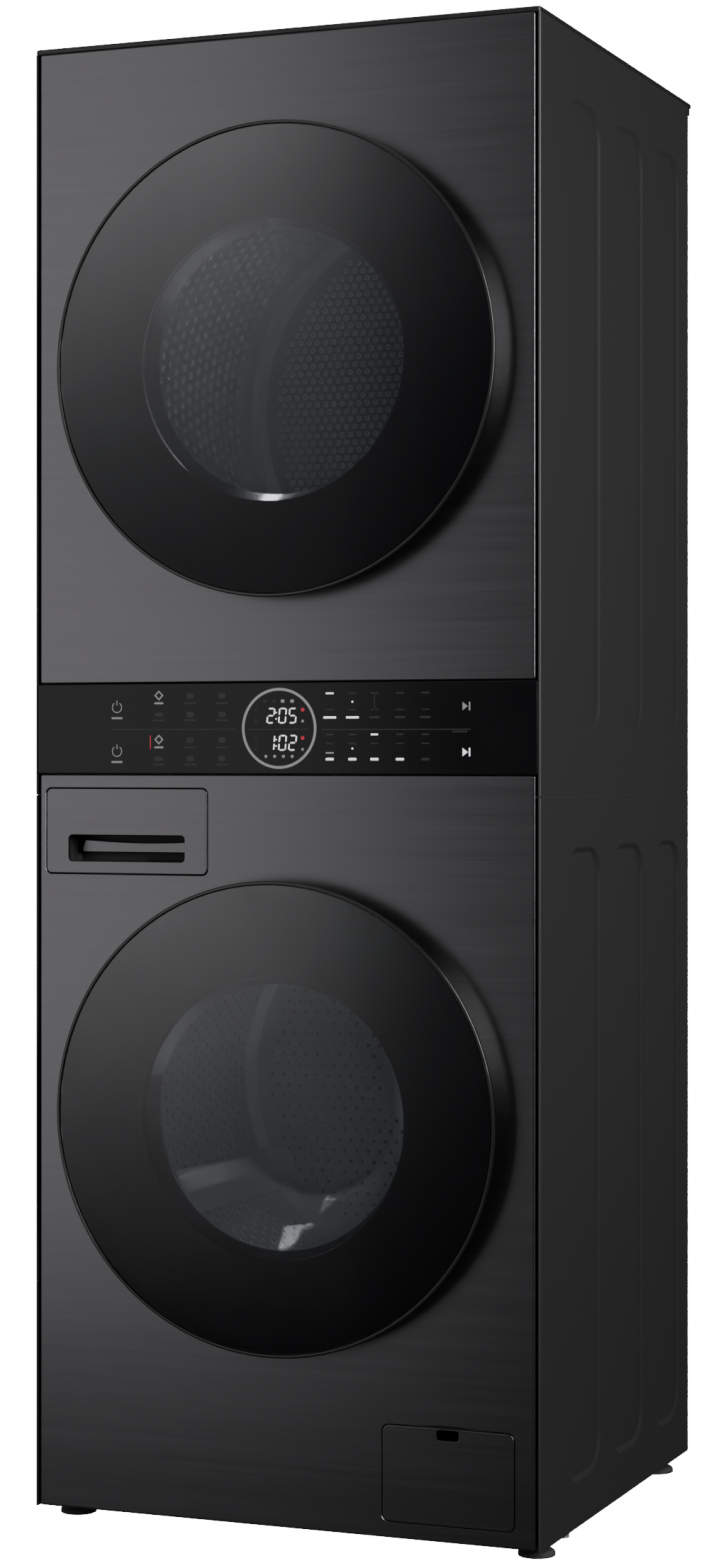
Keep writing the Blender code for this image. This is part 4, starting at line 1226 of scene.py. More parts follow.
def screws(
    name: str, places: Iterable[Sequence[float]], facing: Sequence[float], radius: float = 0.0042
) -> bpy.types.Object:
    """Screw heads at the given places.

    Args:
        name: The piece's name.
        places: Where each head sits.
        facing: The way that the heads face.
        radius: The heads' radius.

    Returns:
        The baked object.
    """
    values = {"Facing": tuple(facing), "Head Radius": radius, "Head Height": radius * 0.42}
    return laid_out(name, Pattern.FASTENERS, SPRING_STEEL, values, places)


# --------------------------------------------------------------------------------------
# Cabinet
# --------------------------------------------------------------------------------------


@dataclass
class Cabinet:
    """The steel case: sides, front panels, top cover, seam seals, rear covers and feet."""

    sheet: float = 0.0012
    skin: float = 0.300  # outer face of a side panel
    front: float = -0.300
    hem: float = 0.0032
    press_y: tuple[Point, ...] = ((-0.2126, -0.0892), (-0.0511, 0.0720), (0.1119, 0.2211))
    press_corner: float = 0.040
    press_depth: float = 0.0035
    press_slope: float = 0.0077
    washer_press: Point = (0.0490, 0.0550)  # margins below and above the pressed fields
    dryer_press: Point = (0.0650, 0.0690)
    port_radius: float = 0.205
    fold: float = 0.0022  # rounding of a front panel's folded edges
    return_depth: float = 0.0110
    cover_low: float = 1.6495  # underside of the top cover, whose rear lip hangs lower
    seams: tuple[Point, ...] = ((0.81655, 0.81745), (1.64905, 1.64945))

    def build(self) -> None:
        """Builds the whole case."""
        for level, margins in (("washer", self.washer_press), ("dryer", self.dryer_press)):
            for side, label in ((-1, "left"), (1, "right")):
                self.side_panel(f"{level}_{label}_side", side, margins)
        self.front_panel("dryer_front_panel", "dryer_door_frame", ())
        self.front_panel("washer_front_panel", "washer_door_frame", self.washer_openings())
        self.top_cover()
        self.seam_seals()
        self.rear_cover("washer_rear_panel", 0.215, (0.100, 0.700))
        self.rear_cover("dryer_rear_panel", 0.235, (0.900, 1.560))
        for end in ("front", "rear"):
            for label in ("left", "right"):
                self.foot(end, label)

    def plan_front(self, side: int) -> list[Point]:
        """The part of a side panel's plan from its flat skin round the front hem to inside.

        Args:
            side: -1 on the left, 1 on the right.

        Returns:
            Points seen from above.
        """
        arc = [radians(-90 * step / 8) for step in range(9)]
        centre = (self.skin - self.hem, self.front + 0.0002 + self.hem)
        corner = [(centre[0] + self.hem * cos(a), centre[1] + self.hem * sin(a)) for a in arc]
        back = -0.2868
        inner = [
            (centre[0], back - 0.0012), (0.2885, back - 0.0012), (0.2885, back),
            (self.skin - self.sheet, back)
        ]
        return [(side * x, y) for x, y in corner + inner]

    def plan_rear(self, side: int) -> list[Point]:
        """The part of a side panel's plan round its rear flange, from inside to its skin.

        Args:
            side: -1 on the left, 1 on the right.

        Returns:
            Points seen from above.
        """
        rear, flange, bend = 0.258, 0.270, 0.0020
        arc = [radians(90 - 90 * step / 4) for step in range(5)]
        corner = [(self.skin - bend + bend * cos(a), rear - bend + bend * sin(a)) for a in arc]
        points = [
            (self.skin - self.sheet, rear - self.sheet), (flange, rear - self.sheet), (flange, rear)
        ]
        return [(side * x, y) for x, y in points + corner]

    def side_panel(self, node: str, side: int, margins: Point) -> None:
        """Builds a side panel with three pressed fields.

        Args:
            node: The solid that it stands for.
            side: -1 on the left, 1 on the right.
            margins: Flat height below and above the fields.
        """
        low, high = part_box(node)[0].z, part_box(node)[1].z
        front, rear = self.plan_front(side), self.plan_rear(side)
        sheet = Sheet(side_place(side, 0.0))
        shape = sheet.shape
        plan = front + rear
        columns = [[shape.verts.new((x, y, z)) for z in (low, high)] for x, y in plan]
        last = len(plan) - 1
        for index in range(last):
            if index != len(front) - 1:
                a, b = columns[index], columns[index + 1]
                shape.faces.new((a[0], b[0], b[1], a[1]))
        for end in (0, 1):
            self.cap_strip(shape, [column[end] for column in columns], len(front))
        outer = [columns[0][0], columns[0][1], columns[last][1], columns[last][0]]
        inner = [
            columns[len(front) - 1][0], columns[len(front) - 1][1], columns[len(front)][1],
            columns[len(front)][0]
        ]
        fields = [((y0, low + margins[0]), (y1, high - margins[1])) for y0, y1 in self.press_y]
        for border, back in ((outer, 0.0), (inner, self.sheet)):
            self.pressed_skin(sheet, border, fields, back)
        made = to_object(node + "_skin", shape, SIDE_STEEL)
        dress(shade(made), SIDE_STEEL, "cabinet", node)

    def cap_strip(self, shape: bmesh.types.BMesh, ring: Ring, split: int) -> None:
        """Closes one end of the plan, which is too bent for a single face.

        Args:
            shape: The mesh that the faces go in.
            ring: The plan's points at that end.
            split: How many of them belong to the front.
        """
        edges = [
            shape.edges.get((a, b)) or shape.edges.new((a, b))
            for a, b in zip(ring, ring[1:] + ring[:1])
        ]
        if len(ring) > split:
            bmesh.ops.triangle_fill(shape, use_beauty=True, use_dissolve=False, edges=edges)

    def pressed_skin(self, sheet: Sheet, border: Ring, fields: Sequence[Box], back: float) -> None:
        """Fills a side's flat, with each field sunk on a soft slope.

        Args:
            sheet: The sheet under construction.
            border: The four corners of the flat.
            fields: The lowest and highest corner of each field.
            back: How far the skin is set in from the outer face.
        """
        profile = [
            (-self.press_slope * step / 8, self.skin - self.press_depth * eased(step / 8) - back)
            for step in range(9)
        ]
        profile.append((-self.press_slope - 0.002, self.skin - self.press_depth - back))
        holes = []
        for box in fields:
            rings = sheet.steps(box, self.press_corner, profile, 10)
            sheet.cap(rings[-1])
            holes.append(rings[0])
        sheet.fill(border, *holes)

    def seam_seals(self) -> None:
        """Lays black foam in the thin gaps above and below the upper side panels."""
        shape = bmesh.new()
        for low, high in self.seams:
            for side in (-1, 1):
                for near, far, start, end in (
                    (0.2972, 0.2993, -0.2960, 0.2570), (0.2890, 0.2975, -0.2990, -0.2886)
                ):
                    xs = sorted((side * near, side * far))
                    add_box(shape, (xs[0], start, low), (xs[1], end, high))
        for low, high in self.seams[1:]:
            add_box(shape, (-0.2890, -0.2975, low), (0.2890, -0.2890, high))
        dress(to_object("seam_seals", shape, FOOT_RUBBER), FOOT_RUBBER, "cabinet")

    def washer_openings(self) -> tuple[tuple[Point, Point, float], ...]:
        """The drawer's and the service door's openings: low, high and corner radius.

        Returns:
            The openings, a little larger than what closes them.
        """
        slack = 0.0008
        openings = []
        for node, corner in (("detergent_drawer_front", 0.0068), ("filter_door", 0.0085)):
            low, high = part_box(node)
            openings.append(((low.x - slack, low.z - slack), (high.x + slack, high.z + slack), corner))
        return tuple(openings)

    def front_panel(self, node: str, door: str, openings: Sequence[tuple[Point, Point, float]]) -> None:
        """Builds a front panel: a brushed plate with folded edges and a round port.

        Args:
            node: The solid that it stands for.
            door: The door frame whose middle is the port's.
            openings: Low corner, high corner and corner radius of each square opening.
        """
        low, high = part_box(node)
        axis = axis_height(door)
        sheet = Sheet(front_place(self.front))
        folded = [
            (-self.fold - 0.001, 0.0), *rounded_edge(self.fold, 6), (0.0, -self.return_depth)
        ]
        rings = sheet.steps(((low.x, low.z), (high.x, high.z)), 0.0030, folded, 4)
        throat = ((0.0, -0.0006), (0.0, -0.0016))
        port = [
            sheet.ring(circle(0.0, axis, self.port_radius + grow, ROUND_STEPS), out)
            for grow, out in ((0.003, 0.0), (0.001, 0.0), *throat)
        ]
        sheet.loft(*port)
        holes = [port[0]]
        for *box, corner in openings:
            holes.append(sheet.steps(box, corner, ((0.0018, 0.0), (0.0006, 0.0), *throat), 6)[0])
        slot = rounded_rect((0.221, axis - 0.014), (0.238, axis + 0.014), 0.002, 4)
        holes.append(sheet.ring(slot, 0.0))
        sheet.fill(rings[0], *holes)
        made = sheet.piece(node + "_skin", BLACK_STEEL, 0.0008)
        dress(made, BLACK_STEEL, "cabinet", node)

    def top_cover(self) -> None:
        """Builds the thin black cover with its rounded edge and turned-down rear lip."""
        low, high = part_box("top_cover")
        foot, low.z = low.z, self.cover_low
        sheet = Sheet(level_place())
        edge = 0.0024
        profile = [
            (-edge - 0.0015, high.z), *rounded_edge(edge, 6, high.z), (0.0, low.z), (-0.010, low.z),
            (-0.0105, low.z + 0.0030)
        ]
        rings = sheet.steps(((low.x, low.y), (high.x, high.y)), 0.005, profile, 5)
        sheet.cap(rings[0])
        sheet.cap(rings[-1])
        cover = to_object("top_cover_skin", sheet.shape, LID)
        lip_low = (low.x + 0.0025, high.y - 0.0029, foot)
        lip_high = (high.x - 0.0025, high.y - 0.0003, low.z + 0.002)
        rear = soft_box("rear_lip", lip_low, lip_high, LID, 0.0009)
        bake(rear)
        dress(shade(joined("top_cover_skin", [cover, rear])), LID, "cabinet", "top_cover")

    def rear_cover(self, node: str, half: float, bulge: Point) -> None:
        """Builds a rear cover: flat zinc plate, hollow bulge, ribs, screws and louvres.

        Args:
            node: The solid that it stands for.
            half: Half the bulge's width.
            bulge: The bulge's lowest and highest height.
        """
        low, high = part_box(node)
        face, reach = 0.2595, 0.312
        depth, root, draft, bend = reach - face, 0.006, 0.010, 0.010
        sheet = Sheet(back_place(face))
        border = sheet.ring(rounded_rect((low.x, low.z), (high.x, high.z), 0.004, 4), 0.0)
        turns = [pi / 2 * step / 5 for step in range(6)]
        profile = [(-root * sin(turn), root * (1 - cos(turn))) for turn in turns]
        profile += [
            (-root - draft - bend * (1 - cos(turn)), depth - bend + bend * sin(turn)) for turn in turns
        ]
        profile.append((-0.0085 - draft - bend, depth))
        rings = sheet.steps(((-half, bulge[0]), (half, bulge[1])), 0.045, profile, 10)
        holes, vents, rib_rows = [rings[0]], [], (0.960, 1.490)
        if node.startswith("washer"):
            holes.append(sheet.ring(rounded_rect((0.062, 0.747), (0.158, 0.793), 0.004, 4), 0.0))
            holes.append(sheet.ring(circle(-0.230, 0.760, 0.0142, 32), 0.0))
            rib_rows = (0.200, 0.600)
        else:
            for z in (1.10 + 0.05 * index for index in range(6)):
                vents.append(sheet.ring(rounded_rect((-0.12, z), (0.12, z + 0.012), 0.004, 4), depth))
        ribs = [self.rib(sheet, half, z, depth) for z in rib_rows]
        sheet.fill(rings[-1], *ribs, *vents)
        sheet.fill(border, *holes)
        cover = sheet.piece(node + "_skin", GALVANISED, 0.0010)
        span = high.z - low.z - 0.030
        places = [(x, face, low.z + 0.015 + span * i / 5) for x in (-0.288, 0.288) for i in range(6)]
        places += [(x, face, z) for x in (-0.14, 0.0, 0.14) for z in (low.z + 0.015, high.z - 0.015)]
        extras = [screws(node + "_screws", places, (0, 1, 0))]
        if vents:
            values = {
                "Count": 6, "Origin": (0.0, reach + 0.0022, 1.1098), "Step": (0, 0, 0.05),
                "Size": (0.236, 0.0010, 0.0115), "Tilt": (radians(-32), 0, 0),
            }
            extras.append(laid_out("louvres", Pattern.SLATS, GALVANISED, values))
        dress(joined(node + "_skin", [cover, *extras]), GALVANISED, "cabinet", node)

    def rib(self, sheet: Sheet, half: float, z: float, depth: float) -> Ring:
        """Raises a long stiffening rib on a rear bulge.

        Args:
            sheet: The sheet under construction.
            half: Half the bulge's width.
            z: The rib's height.
            depth: How far the bulge's crown stands out.

        Returns:
            The ring that bounds the rib's foot.
        """
        profile = [(-0.0045 * step / 4, depth - 0.0028 * eased(step / 4)) for step in range(5)]
        box = (-half + 0.060, z - 0.007), (half - 0.060, z + 0.007)
        rings = sheet.steps(box, 0.0069, profile, 6)
        sheet.cap(rings[-1])
        return rings[0]

    def foot(self, end: str, label: str) -> None:
        """Builds a screw foot: rubber pad, hex nut and threaded stem.

        Args:
            end: front or rear.
            label: left or right.
        """
        node = f"leveling_foot_{end}_{label}"
        low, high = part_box(node)
        x, y, radius = (low.x + high.x) / 2, (low.y + high.y) / 2, (high.x - low.x) / 2
        pad = [
            (0, 0.0085), (0.012, 0.0085), (0.0185, 0.0068), (radius, 0.0045), (radius, 0.0004),
            (0.019, 0), (0, 0)
        ]
        base = turned_upright(node + "_pad", turned_profile(pad, 0.0012), FOOT_RUBBER, x, y)
        thread = [(0.0042, 0.0080)]
        pitch, turns = 0.00125, 22
        for index in range(turns):
            z = 0.017 + pitch * index
            thread += [(0.0043, z), (0.0050, z + pitch / 2)]
        stem = turned_upright(
            node + "_stem", [*thread, (0.0042, high.z), (0, high.z), (0, 0.008)], SPRING_STEEL, x, y, 24
        )
        shape = bmesh.new()
        add_prism(shape, circle(0, 0, 0.0100, 6), level_place(x, y), 0.0086, 0.0165)
        nut = to_object(node + "_nut", shape, SPRING_STEEL)
        bevel = nut.modifiers.new("edges", "BEVEL")
        bevel.width, bevel.segments = 0.0006, 2
        pieces = [shade(part) for part in (base, stem, nut)]
        dress(joined(node + "_set", pieces), FOOT_RUBBER, f"foot_{end}_{label}", node)


# --------------------------------------------------------------------------------------
# Control band
# --------------------------------------------------------------------------------------


SEGMENTS = {"0": "abcdef", "1": "bc", "2": "abged", "5": "afgcd"}  # lit bars of a digit


@dataclass
class ControlBand:
    """The black glass band with its display ring, digits and symbols."""

    lift: float = 0.00005  # how far the printed marks stand off the glass
    middle: float = 0.8908
    ring_radius: float = 0.0442
    ring_width: float = 0.0030
    level_drop: float = 0.0488  # from a mark of the dryer's row to its twin in the washer's
    shape: bmesh.types.BMesh = field(default_factory=bmesh.new)

    GREY, DIM, LIT, RED = range(4)

    def build(self) -> None:
        """Builds the glass and the marks."""
        low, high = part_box("control_panel")
        self.face = low.y
        sheet = Sheet(front_place(low.y))
        edge = 0.0016
        profile = [(-edge - 0.001, 0.0), *rounded_edge(edge, 5), (0.0, low.y - high.y)]
        rings = sheet.steps(((low.x, low.z), (high.x, high.z)), 0.0020, profile, 4)
        sheet.cap(rings[0])
        dress(sheet.piece("control_band", BAND_GLASS, 0.0022), BAND_GLASS, "cabinet", "control_panel")
        self.display()
        self.left_marks()
        self.right_marks()
        marks = to_object("band_marks", self.shape, INLAY_GREY, INLAY_DIM, INLAY_LIT, INLAY_RED)
        dress(marks, INLAY_GREY, "cabinet")

    def mark(self, outline: Sequence[Point], kind: int) -> None:
        """Prints one outline on the glass."""
        add_prism(self.shape, outline, front_place(self.face), 0.00001, self.lift, kind)

    def bar(self, x: float, z: float, width: float, height: float, kind: int) -> None:
        """Prints a short rounded bar centred on a point."""
        low, high = (x - width / 2, z - height / 2), (x + width / 2, z + height / 2)
        self.mark(rounded_rect(low, high, min(width, height) * 0.3, 3), kind)

    def dot(self, x: float, z: float, radius: float, kind: int) -> None:
        """Prints a round dot."""
        self.mark(circle(x, z, radius, 16), kind)

    def arc_band(
        self, x: float, z: float, radius: float, width: float, start: float, end: float, kind: int
    ) -> None:
        """Prints part of a ring, in short pieces.

        Args:
            x: The middle across.
            z: The middle up.
            radius: The outer radius.
            width: The ring's width.
            start: Where it starts, in degrees from +X.
            end: Where it ends.
            kind: The mark's material.
        """
        steps = max(6, int(abs(end - start) / 5))
        for step in range(steps):
            turns = [radians(start + (end - start) * (step + part) / steps) for part in (0, 1)]
            outline = [(x + radius * cos(t), z + radius * sin(t)) for t in turns]
            outline += [
                (x + (radius - width) * cos(t), z + (radius - width) * sin(t))
                for t in reversed(turns)
            ]
            self.mark(outline, kind)

    def digit(self, character: str, x: float, z: float, width: float, height: float) -> None:
        """Prints a seven-bar digit from its lower left corner.

        Args:
            character: The digit.
            x: Its left edge.
            z: Its lower edge.
            width: Its width.
            height: Its height.
        """
        thick, half = 0.0016, height / 2
        lean = 0.0014
        bars = {
            "a": (thick, height, width - thick, height), "g": (thick, half, width - thick, half),
            "d": (thick, 0, width - thick, 0), "f": (thick / 2, half, thick / 2, height),
            "e": (thick / 2, 0, thick / 2, half),
            "b": (width - thick / 2, half, width - thick / 2, height),
            "c": (width - thick / 2, 0, width - thick / 2, half),
        }
        for name in SEGMENTS[character]:
            x0, z0, x1, z1 = bars[name]
            flat = z0 == z1
            shift = 0.5 * thick
            if flat:
                centre = min(max(z0, shift), height - shift)
                outline = [(x0, centre), (x0 + shift, centre + shift), (x1 - shift, centre + shift)]
                outline += [(x1, centre), (x1 - shift, centre - shift), (x0 + shift, centre - shift)]
            else:
                low, high = z0 + shift, z1 - shift
                outline = [(x0, low), (x0 + shift, low + shift), (x0 + shift, high - shift)]
                outline += [(x0, high), (x0 - shift, high - shift), (x0 - shift, low + shift)]
            self.mark([(x + u + lean * v / height, z + v) for u, v in outline], self.LIT)

    def display(self) -> None:
        """Prints the ring, the two times and the small signs around them."""
        z = self.middle
        self.arc_band(-0.0009, z, self.ring_radius, self.ring_width, 0, 360, self.GREY)
        self.bar(-0.0009, z - 0.0012, 0.072, 0.0011, self.DIM)
        width, height, pitch = 0.0094, 0.0172, 0.0120
        for text, base in (("2:05", z + 0.0052), ("1:02", z - 0.0244)):
            right = 0.0192 - width
            self.digit(text[3], right, base, width, height)
            self.digit(text[2], right - pitch, base, width, height)
            for share in (0.30, 0.70):
                self.dot(right - pitch - 0.0022, base + height * share, 0.0009, self.LIT)
            self.digit(text[0], right - pitch - 0.0044 - width, base, width, height)
        for drop in (0.0, self.level_drop * 0.63):
            self.dot(0.0270, z + 0.0202 - drop, 0.0022, self.RED)
            self.dot(0.0270, z + 0.0078 - drop, 0.0016, self.GREY)
            for down in (0.0202, 0.0078):
                self.dot(-0.0285, z + down - drop, 0.0014, self.DIM)
        for x in (0.0033, 0.0146):
            self.bar(x, z + 0.0297, 0.0042, 0.0036, self.GREY)
        for x in (-0.0070, -0.0180):
            self.bar(x, z + 0.0297, 0.0036, 0.0030, self.DIM)
        for index in range(4):
            self.dot(-0.0165 + 0.0104 * index, z - 0.0306, 0.0018, self.GREY)

    def power_sign(self, x: float, z: float) -> None:
        """Prints an open ring with a stroke in its gap, over a short label bar.

        Args:
            x: The ring's middle across.
            z: The ring's middle up.
        """
        self.arc_band(x, z, 0.0062, 0.0010, 125, 415, self.GREY)
        self.bar(x, z + 0.0050, 0.0011, 0.0052, self.GREY)
        self.bar(x, z - 0.0119, 0.0135, 0.0021, self.GREY)

    def cycle_sign(self, x: float, z: float, kind: int) -> None:
        """Prints a small lozenge with a hole, over a label bar.

        Args:
            x: The middle across.
            z: The middle up.
            kind: The mark's material.
        """
        for corner in range(4):
            turn = radians(90 * corner)
            first = (x + 0.0056 * cos(turn), z + 0.0056 * sin(turn))
            second = (x + 0.0056 * cos(turn + pi / 2), z + 0.0056 * sin(turn + pi / 2))
            inner = [(x + (px - x) * 0.62, z + (pz - z) * 0.62) for px, pz in (second, first)]
            self.mark([first, second, *inner], kind)
        self.bar(x, z - 0.0086, 0.0110, 0.0021, kind)

    def left_marks(self) -> None:
        """Prints the power signs, the cycle columns and the left divider."""
        z = self.middle
        self.bar(-0.1282, z - 0.0008, 0.1520, 0.0010, self.DIM)
        for level in range(2):
            drop = level * self.level_drop
            self.power_sign(-0.1972, z + 0.0238 - drop)
            self.cycle_sign(-0.1457, z + 0.0368 - drop, self.GREY)
            self.bar(-0.1457, z + 0.0156 - drop, 0.0100, 0.0045, self.DIM)
            self.bar(-0.1457, z + 0.0092 - drop, 0.0140, 0.0018, self.DIM)
            for x in (-0.1077, -0.0692):
                for up, down in ((0.0360, 0.0280), (0.0156, 0.0092)):
                    self.bar(x, z + up - drop, 0.0085, 0.0060, self.DIM)
                    self.bar(x, z + down - drop, 0.0150, 0.0018, self.DIM)
        self.bar(-0.1561, z - 0.0148, 0.0011, 0.0150, self.RED)

    def play_sign(self, x: float, z: float, kind: int) -> None:
        """Prints a triangle and a bar, the start and pause sign."""
        self.mark([(x - 0.0046, z - 0.0046), (x + 0.0014, z), (x - 0.0046, z + 0.0046)], kind)
        self.bar(x + 0.0034, z, 0.0018, 0.0092, kind)

    def right_marks(self) -> None:
        """Prints the option columns, the right divider and the start signs."""
        z = self.middle
        columns = (0.0589, 0.0854, 0.1110, 0.1405, 0.1698)
        self.bar(0.1356, z - 0.0016, 0.1720, 0.0012, self.DIM)
        self.bar(0.2090, z - 0.0040, 0.0170, 0.0018, self.DIM)
        for index, x in enumerate(columns):
            lit = index < 2
            self.bar(x, z + 0.0378, 0.0095, 0.0018, self.LIT if index == 0 else self.DIM)
            self.bar(x, z + 0.0116, 0.0150 if lit else 0.0120, 0.0024, self.LIT if lit else self.DIM)
            self.bar(x, z + 0.0200, 0.0090, 0.0014, self.DIM)
            self.bar(x, z - 0.0069, 0.0085, 0.0019, self.LIT if index == 2 else self.DIM)
            self.bar(x, z - 0.0165, 0.0090, 0.0014, self.DIM)
            self.bar(x, z - 0.0336, 0.0095, 0.0028, self.LIT if index < 4 else self.DIM)
        self.bar(columns[0], z - 0.0268, 0.0095, 0.0018, self.GREY)
        for up in (0.0285, -0.0221):
            self.dot(columns[1], z + up, 0.0011, self.LIT)
        self.bar(columns[2], z + 0.0285, 0.0012, 0.0190, self.DIM)
        self.play_sign(0.2167, z + 0.0231, self.GREY)
        self.play_sign(0.2167, z - 0.0260, self.LIT)


# --------------------------------------------------------------------------------------
# Doors
# --------------------------------------------------------------------------------------


@dataclass
class LaundryDoor:
    """A round door: a gloss ring, a smoked cover, a printed border and an inner glass."""

    level: str  # washer or dryer
    glass_node: str
    print_radius: float = 0.1545
    dome: float = 0.0018  # how far the cover's rim falls back from its middle
    # strength of the painted sheen at the cover's upper left
    painted_shine: float = 0.48

    def build(self) -> None:
        """Builds the door's pieces on its body."""
        self.axis = axis_height(f"{self.level}_door_frame")
        self.body = f"{self.level}_door"
        self.frame_ring()
        self.cover()
        self.printed_border()
        self.inner_glass()
        self.polished_ring()

    def frame_ring(self) -> None:
        """Builds the tapering ring with its inner face, latch hook and screws."""
        node = f"{self.level}_door_frame"
        reach = 0.2587
        profile = [
            (reach - 0.0012, -0.3288), (reach, -0.3272), (0.2480, -0.3020), (0.1660, -0.3020),
            (0.1660, -0.3150),
            (0.1690, -0.3150), (0.1690, -0.3045), (0.2467, -0.3045), (0.2530, -0.3259),
            (0.2550, -0.3259), (0.2550, -0.3288),
        ]
        ring = turned(
            f"{self.level}_door_ring", turned_profile(profile, 0.0009), DOOR_GLOSS, 0.0, self.axis
        )
        for side in (-1, 1):
            ends = sorted((self.axis + side * 0.0180, self.axis + side * 0.0335))
            shape = bmesh.new()
            add_box(shape, (-0.275, -0.3262, ends[0]), (-0.198, -0.2990, ends[1]))
            carve(ring, to_object("notch", shape))
        hook = soft_box(
            "hook", (0.2262, -0.3030, self.axis - 0.008), (0.2318, -0.2902, self.axis + 0.008),
            DOOR_GLOSS, 0.0015
        )
        shade(ring)
        shade(hook)
        places = []
        for index in range(8):
            turn = 2 * pi * (index + 0.5) / 8
            places.append((0.190 * sin(turn), -0.3022, self.axis + 0.190 * cos(turn)))
        heads = screws(f"{self.level}_ring_screws", places, (0, 1, 0), 0.0036)
        dress(joined(ring.name, [ring, hook, heads]), DOOR_GLOSS, self.body, node)

    def cover(self) -> None:
        """Builds the domed smoked glass."""
        node = f"{self.level}_door_cover"
        low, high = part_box(node)
        edge = (high.x - low.x) / 2
        front = []
        count = 20
        for index in range(count):
            share = index / (count - 1)
            radius = (edge - 0.0012) * share
            front.append((radius, low.y + self.dome * share**3))
        rim = low.y + self.dome
        profile = [
            *front, (edge - 0.0004, rim + 0.0003), (edge, rim + 0.0009), (edge, high.y), (0.0, high.y)
        ]
        made = turned(f"{self.level}_cover", profile, SMOKED_GLASS, 0.0, self.axis, 160)
        shade(made)
        # paint the sheen on the cover, strongest at the upper left where the light falls
        self.painted_sheen(made.data, edge)
        dress(made, SMOKED_GLASS, self.body, node)

    def painted_sheen(self, mesh: bpy.types.Mesh, edge: float) -> None:
        """Writes the painted sheen, how strongly each point is painted to shine: most at the upper left,
        least at the foot.

        Args:
            mesh: The cover's mesh.
            edge: The cover's radius.
        """
        painted_shine = mesh.attributes.new(PAINTED_SHEEN, "FLOAT", "POINT")
        for vertex, value in zip(mesh.vertices, painted_shine.data):
            across, up = vertex.co.x / edge, (vertex.co.z - self.axis) / edge
            share = min(1.0, max(0.0, 0.5 + 0.5 * up - 0.13 * across))
            value.value = 0.04 + self.painted_shine * share**2

    def printed_border(self) -> None:
        """Builds the black print behind the cover, outside the window."""
        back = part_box(f"{self.level}_door_cover")[1].y
        profile = [
            (self.print_radius, back + 0.00006), (0.2535, back + 0.00006), (0.2535, back + 0.00018),
            (self.print_radius, back + 0.00018),
        ]
        made = turned(f"{self.level}_window_print", profile, PRINT_BLACK, 0.0, self.axis, 160)
        dress(shade(made), PRINT_BLACK, self.body)

    def polished_ring(self) -> None:
        """Builds the bright ring that holds the inner glass, seen through the cover."""
        outer, inner = (0.1548, -0.3186), (0.1462, -0.3010)
        thick = 0.0007
        profile = [outer, inner, (inner[0] - thick, inner[1]), (outer[0] - 2 * thick, outer[1])]
        made = turned(f"{self.level}_glass_ring", profile, DARK_CHROME, 0.0, self.axis, 160)
        dress(shade(made), DARK_CHROME, self.body)

    def inner_glass(self) -> None:
        """Builds the clear bowl or window behind the cover."""
        if self.level == "washer":
            outer = [
                (0, -0.190), (0.090, -0.190), (0.100, -0.196), (0.128, -0.245), (0.150, -0.300),
                (0.160, -0.315)
            ]
            inner = [
                (0.157, -0.319), (0.146, -0.300), (0.124, -0.245), (0.0965, -0.199), (0.088, -0.194),
                (0, -0.194)
            ]
        else:
            outer = [(0, -0.285), (0.140, -0.285), (0.147, -0.288), (0.160, -0.315)]
            inner = [(0.156, -0.319), (0.1435, -0.291), (0.139, -0.2885), (0, -0.2885)]
        flange = [(0.178, -0.3155), (0.178, -0.3190)]
        profile = turned_profile([*outer, *flange, *inner], 0.006, 6)
        made = turned(f"{self.level}_inner_glass", profile, BOWL_GLASS, 0.0, self.axis)
        shade(made)
        made.visible_shadow = False
        dress(made, BOWL_GLASS, self.body, self.glass_node)


# --------------------------------------------------------------------------------------
# Washer and dryer insides
# --------------------------------------------------------------------------------------


def spots(name: str, pattern: Pattern, finish: Finish, **values: object) -> bpy.types.Object:
    """Lays out spots; the values' names have underscores for the inputs' spaces."""
    return laid_out(
        name, pattern, finish, {key.replace("_", " "): value for key, value in values.items()}
    )


def lifter(
    name: str, span: Point, axis_z: float, turn: float, base: float, sizes: Sequence[float],
    finish: Finish
) -> bpy.types.Object:
    """A drum's paddle: a rounded ridge along the drum with tapering ends.

    Args:
        name: The piece's name.
        span: Where it starts and ends along Y.
        axis_z: The drum axis's height.
        turn: Where it stands round the drum.
        base: The radius that it stands on.
        sizes: Height, half width at the foot and half width at the tip.
        finish: Its finish.

    Returns:
        The shaded object.
    """
    height, foot, tip = sizes
    shape = bmesh.new()
    stations = (
        (0.0, 0.45), (0.015, 0.74), (0.045, 0.93), (0.12, 1.0), (0.5, 1.0), (0.88, 1.0), (0.955, 0.93),
        (0.985, 0.74), (1.0, 0.45)
    )
    rings = []
    for share, rise in stations:
        y = span[0] + (span[1] - span[0]) * share
        outline = [
            (-foot, 0.0), (foot, 0.0), (foot * 0.72, height * rise * 0.35), (tip, height * rise),
            (-tip, height * rise), (-foot * 0.72, height * rise * 0.35)
        ]
        ring = []
        for u, v in softened(outline, 0.007, 4):
            r = base - v
            ring.append(
                shape.verts.new(
                    (r * sin(turn) + u * cos(turn), y, axis_z + r * cos(turn) - u * sin(turn))
                )
            )
        rings.append(ring)
    for first, second in zip(rings, rings[1:]):
        for index in range(len(first)):
            shape.faces.new((first[index - 1], first[index], second[index], second[index - 1]))
    shape.faces.new(rings[0])
    shape.faces.new(rings[-1])
    return shade(to_object(name, shape, finish))


